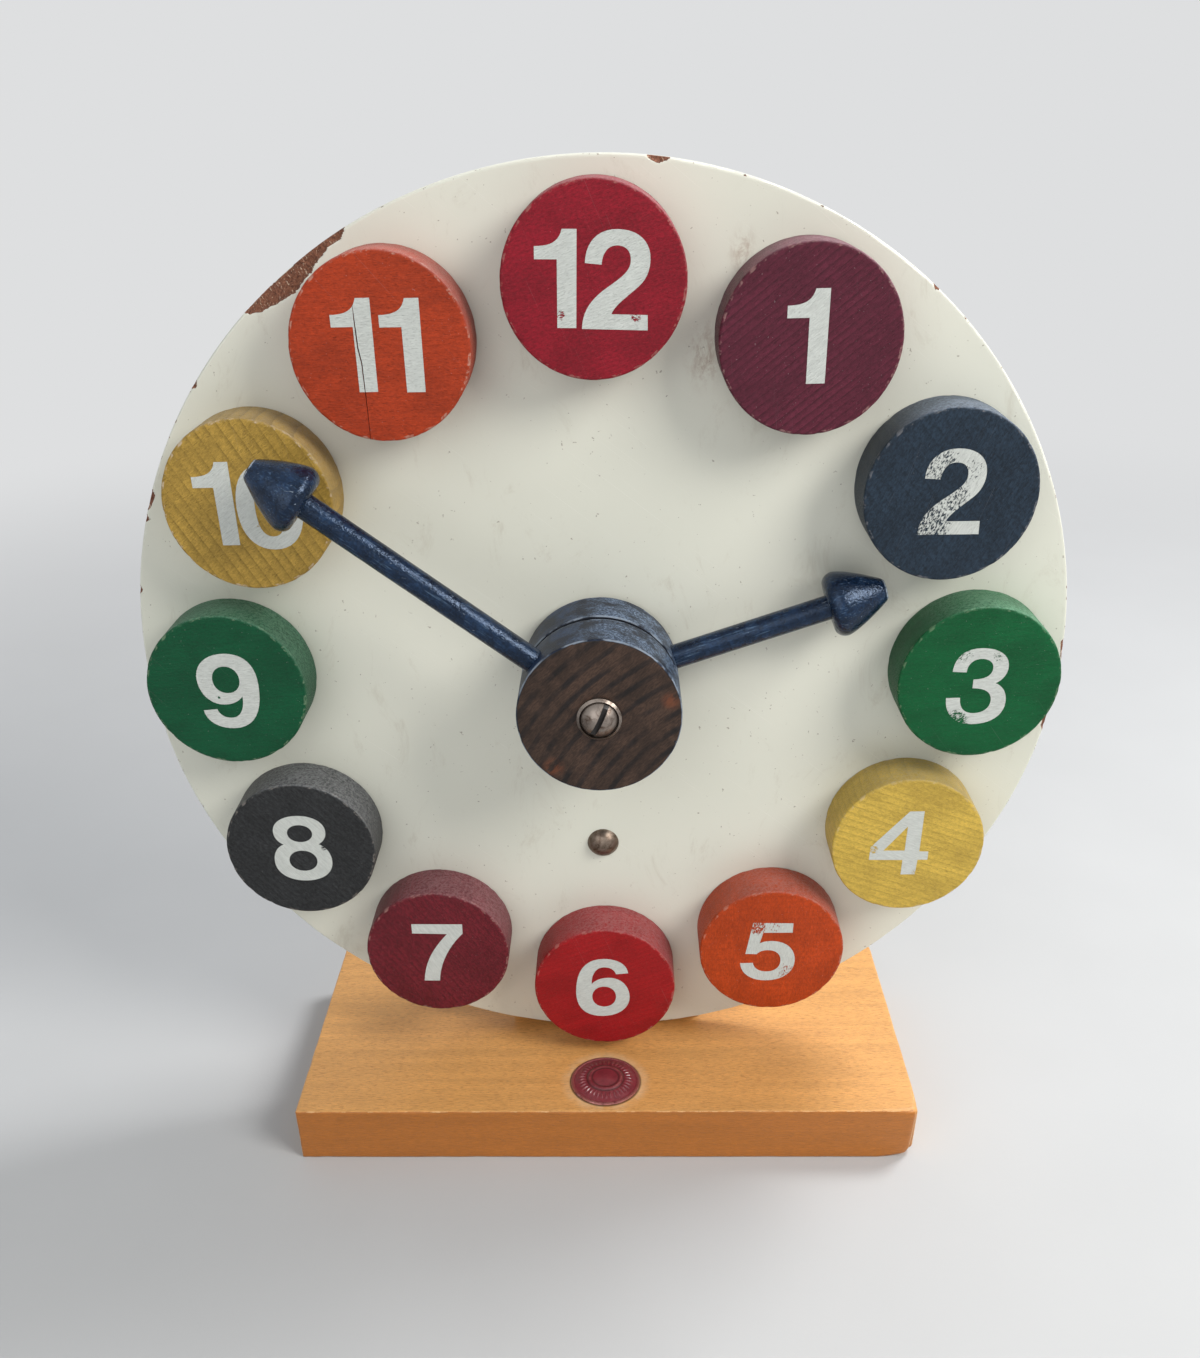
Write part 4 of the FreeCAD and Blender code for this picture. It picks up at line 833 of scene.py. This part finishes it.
def filled_outlines(name, outlines, thickness):
    """Flat slab of a thickness in mm from outlines in mm, in the XY plane."""
    curve = bpy.data.curves.new(name, "CURVE")
    curve.dimensions = "2D"
    curve.fill_mode = "BOTH"
    curve.extrude = thickness / 2 * MM
    for outline in outlines:
        spline = curve.splines.new("POLY")
        spline.points.add(len(outline) - 1)
        for point, (across, up) in zip(spline.points, outline):
            point.co = (across * MM, up * MM, 0, 1)
        spline.use_cyclic_u = True
    holder = bpy.data.objects.new(name, curve)
    mesh = bpy.data.meshes.new_from_object(holder)
    bpy.data.objects.remove(holder)
    work = bmesh.new()
    work.from_mesh(mesh)
    bpy.data.meshes.remove(mesh)
    bmesh.ops.remove_doubles(work, verts=work.verts, dist=MM * 1e-3)
    return work


# The split in the eleventh disc: across and up from the disc's centre and its width (mm), from its foot.
SPLIT_LINE = [(-4.2, -21.8, 0.16), (-4.25, -15, 0.16), (-4.33, -9.66, 0.2), (-4.47, -3.2, 0.28),
              (-5.02, 0.2, 0.3), (-5.23, 6.4, 0.22), (-5.3, 9.6, 0.1)]
SPLIT_DEPTH = 3.0


def split_cutter(centre, front):
    """Thin wedge that follows the split."""
    left = [Vector((across - width / 2, up)) for across, up, width in SPLIT_LINE]
    right = [Vector((across + width / 2, up)) for across, up, width in SPLIT_LINE]
    work = filled_outlines("split_wedge", [left + right[::-1]], SPLIT_DEPTH * 2)
    return add_object("split_wedge", to_mesh(work, "split_wedge", facing_front(centre, front)))


def cut_away(piece, cutter):
    """Takes a cutter out of a piece's mesh."""
    step = piece.modifiers.new("cut", "BOOLEAN")
    step.object = cutter
    step.operation = "DIFFERENCE"
    step.solver = "EXACT"
    graph = bpy.context.evaluated_depsgraph_get()
    mesh = bpy.data.meshes.new_from_object(piece.evaluated_get(graph))
    mesh.set_sharp_from_angle(angle=radians(30))
    piece.modifiers.clear()
    piece.data = mesh


def make_number_disc(hour):
    """Sawn disc with a rubbed front edge, and its painted number."""
    node = f"number_disc_{hour}"
    low, high = span(node)
    radius = (high.x - low.x) / 2
    thick = high.y - low.y
    centre = Vector(((low.x + high.x) / 2, low.y, (low.z + high.z) / 2)) * MM
    corners = [(0, 0, 0), (radius, 0, 0.35), (radius, thick, 0.65), (radius * 0.5, thick, 0), (0, thick, 0)]
    work = lathe(eased(corners), segments=180, wear=0.3, seed=hour * 7.3)
    mesh = to_mesh(work, f"disc_{hour}", facing_front(centre, high.y))
    disc = new_piece(f"disc_{hour}", mesh, "stand", disc_material(hour, centre), [node])
    paint = numeral_material(hour, centre)
    pieces = [disc]
    for index, (digit, left, bottom, lean) in enumerate(DIGIT_PLACES[hour]):
        turn = Matrix.Rotation(radians(lean), 2)
        outlines = [
            [turn @ (point * DIGIT_HEIGHT) + Vector((left, bottom)) for point in line]
            for line in digit_outlines(digit)
        ]
        name = f"numeral_{hour}_{index + 1}"
        work = filled_outlines(name, outlines, DIGIT_THICKNESS)
        place = facing_front(centre, low.y - DIGIT_THICKNESS * 0.4)
        pieces.append(new_piece(name, to_mesh(work, name, place), "stand", paint))
    if hour == 11:
        cutter = split_cutter(centre, low.y)
        cut_away(pieces[0], cutter)
        cut_away(pieces[1], cutter)
        bpy.data.objects.remove(cutter)


def make_block_mesh(low, high):
    """Plank with eased, unevenly rubbed edges."""
    work = bmesh.new()
    middle = (low + high) / 2
    size = high - low
    bmesh.ops.create_cube(work, size=1.0, matrix=Matrix.Translation(middle) @ Matrix.Diagonal((*size, 1)))
    near = (0.35, 0.7, 1.1, 1.6, 2.2, 3.0, 4.2)
    for axis in range(3):
        count = max(2, int(size[axis] / 3.5))
        cuts = [low[axis] + size[axis] * index / count for index in range(1, count)]
        cuts = [cut for cut in cuts if low[axis] + 5 < cut < high[axis] - 5]
        cuts += [low[axis] + step for step in near] + [high[axis] - step for step in near]
        normal = Vector([1 if index == axis else 0 for index in range(3)])
        for cut in cuts:
            place = middle.copy()
            place[axis] = cut
            everything = work.verts[:] + work.edges[:] + work.faces[:]
            bmesh.ops.bisect_plane(work, geom=everything, plane_co=place, plane_no=normal)
    return work


# Least rounding of the plank's edges, and how far its worn corner reaches (mm).
EDGE_ROUNDING = 0.55
WORN_CORNER = 9


def make_base():
    """Plank whose edges are rubbed, with its right front corner worn round."""
    low, high = span("base_plank")
    work = make_block_mesh(low, high)
    edge = work.verts.layers.float.new("edge")
    for vert in work.verts:
        spot = vert.co.copy()
        rub = noise.noise(spot * 0.11 + Vector((5, 2, 8))) + 0.6 * noise.noise(spot * 0.5)
        corner = max(0, 1 - (Vector((high.x, low.y)) - spot.xy).length / WORN_CORNER)
        rounding = EDGE_ROUNDING + 0.45 * max(0, rub) + corner * (1.6 + 2.2 * (high.z - spot.z) / high.z)
        inner_low = low + Vector((rounding,) * 3)
        inner_high = high - Vector((rounding,) * 3)
        inner = Vector([min(max(spot[axis], inner_low[axis]), inner_high[axis]) for axis in range(3)])
        away = spot - inner
        if away.length > 0:
            vert.co = inner + away.normalized() * min(rounding, away.length)
        nick = noise.noise(spot * 0.45 + Vector((0, 7, 3)))
        distances = sorted(min(spot[axis] - low[axis], high[axis] - spot[axis]) for axis in range(3))
        vert[edge] = max(0, 1 - distances[1] / 1.3)
        if nick > 0.42 and distances[1] < 0.5:
            vert.co += ((low + high) / 2 - spot).normalized() * (nick - 0.42) * 1.6
    bmesh.ops.scale(work, vec=(MM, MM, MM), verts=work.verts)
    mesh = to_mesh(work, "base_board", Matrix.Identity(4), 45)
    new_piece("base_board", mesh, "stand", base_material(), ["base_plank"])


# Radius of each hub's bore (mm).
HOUR_BORE = 6.1
MINUTE_BORE = 2.6


def make_hub(name, body, material, bore, bare_front):
    """Turned hub round a bore of a radius in mm; a bare front shows its own wood."""
    low, high = span(name)
    radius = (high.x - low.x) / 2
    thick = high.y - low.y
    corners = [(bore, 0, 0), (radius, 0, 0.4), (radius, thick, 0.5), (bore, thick, 0)]
    work = lathe(eased(corners), segments=180, closed=True, wear=0.25, seed=radius + low.y)
    bare = work.verts.layers.float.new("bare")
    for vert in work.verts:
        flat = hypot(vert.co.x, vert.co.y) / MM < radius - 0.3
        vert[bare] = 1.0 if bare_front and flat and vert.co.z / MM > thick - 0.2 else 0.0
    mesh = to_mesh(work, name, facing_front(CENTRE, high.y))
    new_piece(f"{name}_turned", mesh, body, material, [name])


# Arrowhead's outline in shares of its length and of its widest radius.
ARROW_FOOT_SHARE = 0.70
ARROW_BELLY_SHARE = 0.20
ARROW_TIP_SHARE = 0.33
ARROW_CROWN_SHARE = 0.966


def along_hand(node, axis, outward):
    """Least and greatest reach of a node along a hand's line, and its largest radius about it (mm)."""
    points = [vert.co / MM - axis for vert in frame["nodes"][node].data.vertices]
    reaches = [point.dot(outward) for point in points]
    radius = max((point - outward * reach).length for point, reach in zip(points, reaches))
    return min(reaches), max(reaches), radius


def make_hand(name, body, material):
    """Lacquered rod and turned arrowhead along the hand's own line."""
    low, high = span(f"{name}_rod")
    middle = (low + high) / 2
    outward = Vector((middle.x - CENTRE.x / MM, 0, middle.z - CENTRE.z / MM)).normalized()
    axis = Vector((CENTRE.x / MM, middle.y, CENTRE.z / MM))
    rod_start, _, rod_radius = along_hand(f"{name}_rod", axis, outward)
    head_start, head_end, belly = along_hand(f"{name}_arrowhead", axis, outward)
    length = head_end - head_start
    turn = Vector((0, 0, 1)).rotation_difference(outward).to_matrix().to_4x4()
    place = Matrix.Translation(axis * MM) @ turn

    corners = [(0, rod_start, 0)]
    corners += [(rod_radius, height, 0) for height in steps_between(rod_start, head_start + 2, 30)]
    corners += [(0, head_start + 2, 0)]
    work = lathe(corners, segments=64)
    for vert in work.verts:
        spot = vert.co / MM
        swell = 1 + 0.006 * noise.noise(spot * 0.3) + 0.004 * noise.noise(spot * 1.1)
        vert.co.x *= swell
        vert.co.y *= swell
    mesh = to_mesh(work, f"{name}_rod", place)
    new_piece(f"{name}_rod_lacquered", mesh, body, material, [f"{name}_rod"])

    foot = belly * ARROW_FOOT_SHARE
    belly_height = length * ARROW_BELLY_SHARE
    tip = belly * ARROW_TIP_SHARE
    crown = length * ARROW_CROWN_SHARE
    profile = [(0, 0, 0), (rod_radius * 0.9, 0, 0), (foot - 0.6, 0, 0), (foot - 0.1, 0.03, 0.9)]
    for angle in steps_between(pi / 18, pi / 2, 10):
        out = foot + (belly - foot) * sin(angle)
        profile.append((out, belly_height * (1 - cos(angle)), max(0, 0.9 - angle)))
    for share in steps_between(0.06, 0.97, 16):
        out = belly - (belly - tip) * share**1.35
        profile.append((out, belly_height + (crown - belly_height) * share, 0))
    profile += [(tip - 0.1, crown, 0.9), (tip * 0.86, crown + 0.25, 0.9), (tip * 0.5, length - 0.1, 0.3),
                (tip * 0.25, length - 0.02, 0), (0, length, 0)]
    work = lathe(profile, segments=96, wear=0.3, seed=belly + rod_start + head_end)
    for vert in work.verts:
        spot = vert.co / MM
        vert.co *= 1 + 0.008 * noise.noise(spot * 0.25 + Vector((head_end, 0, 0)))
    place = place @ Matrix.Translation((0, 0, head_start * MM))
    mesh = to_mesh(work, f"{name}_arrowhead", place, 50)
    new_piece(f"{name}_arrowhead_lacquered", mesh, body, material, [f"{name}_arrowhead"])


def dome(radius, height, steps):
    """Half profile of a low dome from its rim to its crown, above zero."""
    ball = (radius**2 + height**2) / (2 * height)
    reach = asin(min(1, radius / ball))
    angles = steps_between(reach, 0, steps)
    return [(ball * sin(angle), height - ball * (1 - cos(angle)), 0) for angle in angles]


# The badge's rolled rim (mm), the width of its ring and the reach of its rays as shares of its radius,
# and how high both stand (mm).
BADGE_RIM = 1.0
RING_WIDTH = 0.05
BADGE_RAYS = 36
RAY_INNER = 0.56
RAY_OUTER = 0.80
BADGE_RELIEF = 0.3


def make_badge(material):
    """Domed tack without a name: a rolled rim, one pressed ring and short plain rays."""
    low, high = span("badge_tack")
    board_top = span("base_plank")[1].z
    radius = (high.x - low.x) / 2
    height = high.z - board_top
    profile = [(0, 0.02, 0), (radius - 0.3, 0.02, 0), (radius, 0.25, 1), (radius - 0.12, 0.55, 1),
               (radius - 0.45, 0.7, 1), (radius - 0.8, 0.62, 1), (radius - BADGE_RIM, 0.5, 0.3)]
    for out, up, _ in dome(radius - BADGE_RIM - 0.15, height - 0.5, 40)[1:]:
        crest = exp(-((out / radius - RING_REACH) / RING_WIDTH) ** 2)
        profile.append((out, up + 0.5 + BADGE_RELIEF * crest, 0.8 * crest))
    work = lathe(profile, segments=288, wear=0.1, seed=4.4)
    edge = work.verts.layers.float["edge"]
    for vert in work.verts:
        out = hypot(vert.co.x, vert.co.y) / MM / radius
        if RAY_INNER < out < RAY_OUTER:
            ray = max(0, sin(atan2(vert.co.y, vert.co.x) * BADGE_RAYS))
            lift = ray * sin((out - RAY_INNER) / (RAY_OUTER - RAY_INNER) * pi)
            vert.co.z += BADGE_RELIEF * MM * lift
            vert[edge] = max(vert[edge], 0.85 * lift)
    middle = (low + high) / 2
    place = Matrix.Translation((middle.x * MM, middle.y * MM, board_top * MM))
    mesh = to_mesh(work, "badge_dome", place, 40)
    new_piece("badge_dome", mesh, "stand", material, ["badge_tack"])


# Turn of the screw's slot, and of each hand from the X axis, as the photo shows them.
SLOT_TURN = radians(25)
HOUR_TURN = radians(71.4 - 90)
MINUTE_TURN = radians(307.4 - 90)
NICKEL = (rgb(146, 136, 128), rgb(80, 64, 54))


def dress(nodes, material):
    """Gives CAD nodes a finished material."""
    for node in nodes:
        for slot in frame["nodes"][node].material_slots:
            slot.material = material


# Setting
def make_light(name, place, target, size, watts, tint=(1, 1, 1)):
    """Soft square lamp aimed at a point."""
    data = bpy.data.lights.new(name, "AREA")
    data.size = size
    data.energy = watts
    data.color = tint
    light = add_object(name, data)
    light.location = place
    light.rotation_euler = (Vector(target) - Vector(place)).to_track_quat("-Z", "Y").to_euler()


BACKDROP = rgb(222, 223, 224)
# Flat reach of the floor, radius of its sweep and height of its wall, and where the floor's own colour
# begins and ends to pass into the backdrop's (m).
FLOOR_REACH = 2.4
SWEEP = 0.8
WALL_TOP = 1.3
FADE = (0.25, 1.0)


def make_setting():
    """Pale floor that sweeps up all round, even daylight and three soft lamps.

    The backdrop's colour is seen past the fade and above the wall, and adds no light."""
    outline = [(0.0, 0.0), (FLOOR_REACH, 0.0)]
    for angle in steps_between(0, pi / 2, 16)[1:]:
        outline.append((FLOOR_REACH + SWEEP * sin(angle), SWEEP - SWEEP * cos(angle)))
    outline.append((FLOOR_REACH + SWEEP, WALL_TOP))
    work = lathe([(radius / MM, height / MM, 0) for radius, height in outline], segments=96)
    mesh = to_mesh(work, "floor", Matrix.Identity(4), 80)
    for face in mesh.polygons:
        face.flip()
    skin = Surface("floor_paper", Specular_IOR_Level=0.2)
    tone = skin.noise(90.0, 3.0, 0.5)
    colour = skin.mix(tone, rgb(184, 184, 183), rgb(192, 192, 191))
    skin.finish(colour, 0.85, skin.noise(1.0), 0.02)
    away = skin.vector("LENGTH", skin.place, output="Value")
    far = skin.times(skin.between(away, *FADE), skin.seen_directly())
    paper = skin.node("Emission", {"Color": BACKDROP, "Strength": 1.0}).outputs[0]
    output = skin.tree.nodes["Material Output"]
    shown = skin.node("MixShader", {0: far, 1: skin.shader.outputs[0], 2: paper}).outputs[0]
    skin.put(output.inputs["Surface"], shown)
    mesh.materials.append(skin.material)
    floor = add_object("floor", mesh)
    world = bpy.data.worlds.new("daylight")
    scene.world = world
    world.use_nodes = True
    air = Nodes(world.node_tree)
    sky = air.tree.nodes["Background"]
    air.put(sky.inputs["Color"], rgb(238, 244, 252))
    air.put(sky.inputs["Strength"], 0.56)
    paper = air.node("Background", {"Color": BACKDROP}).outputs[0]
    shown = air.node("MixShader", {0: air.seen_directly(), 1: sky.outputs[0], 2: paper}).outputs[0]
    air.put(air.tree.nodes["World Output"].inputs["Surface"], shown)
    make_light("window", (0.62, 0.36, 0.95), (0, 0, 0.12), 0.32, 9, (0.97, 0.98, 1.0))
    make_light("key", (0.66, -0.46, 0.72), (0, 0, 0.14), 0.4, 7, (1.0, 0.98, 0.95))
    make_light("room", (-0.6, -1.4, 0.8), (0, 0, 0.14), 1.4, 8)
    scene.view_settings.view_transform = "Standard"


make_camera()
make_setting()
make_dial()
for clock_hour in range(1, HOURS + 1):
    make_number_disc(clock_hour)
make_base()
hub_finish = hub_material()
make_hub("hour_hub", "hour_hand", hub_finish, HOUR_BORE, False)
make_hub("minute_hub", "minute_hand", hub_finish, MINUTE_BORE, True)
make_hand("hour", "hour_hand", lacquer_material("hand_lacquer_hour", HOUR_TURN))
make_hand("minute", "minute_hand", lacquer_material("hand_lacquer_minute", MINUTE_TURN))
make_badge(enamel_material())
dress(["cup_washer"], metal_material("aged_nickel", *NICKEL, 0.24))
dress(["intermediate_stud"], metal_material("dark_nickel", rgb(132, 118, 106), rgb(78, 62, 52), 0.26))
dress(["centre_screw"], metal_material("slotted_nickel", *NICKEL, 0.26, SLOT_TURN))
steel = metal_material("dull_steel", rgb(168, 168, 166), rgb(120, 110, 100), 0.3)
dress(["disc_nails", "base_screws", "post_screws", "stud_washer", "stud_nut", "gear_washers", "dial_washer",
       "hub_washer", "minute_arbor"], steel)
dress(["hour_sleeve"], metal_material("dull_brass", rgb(196, 160, 92), rgb(140, 104, 60), 0.3))
upright = (0, radians(90), 0)
level = (0, 0, 0)
dress(["back_post"], board_material("post_wood", rgb(214, 176, 128), upright, 0.10))
dress(["lower_block", "upper_block"], board_material("block_wood", rgb(206, 168, 120), level, 0.10))
plywood = board_material("gear_plywood", rgb(208, 170, 120), level, 0.08, 1.2)
dress(["minute_pinion", "intermediate_wheel", "intermediate_pinion", "hour_wheel"], plywood)
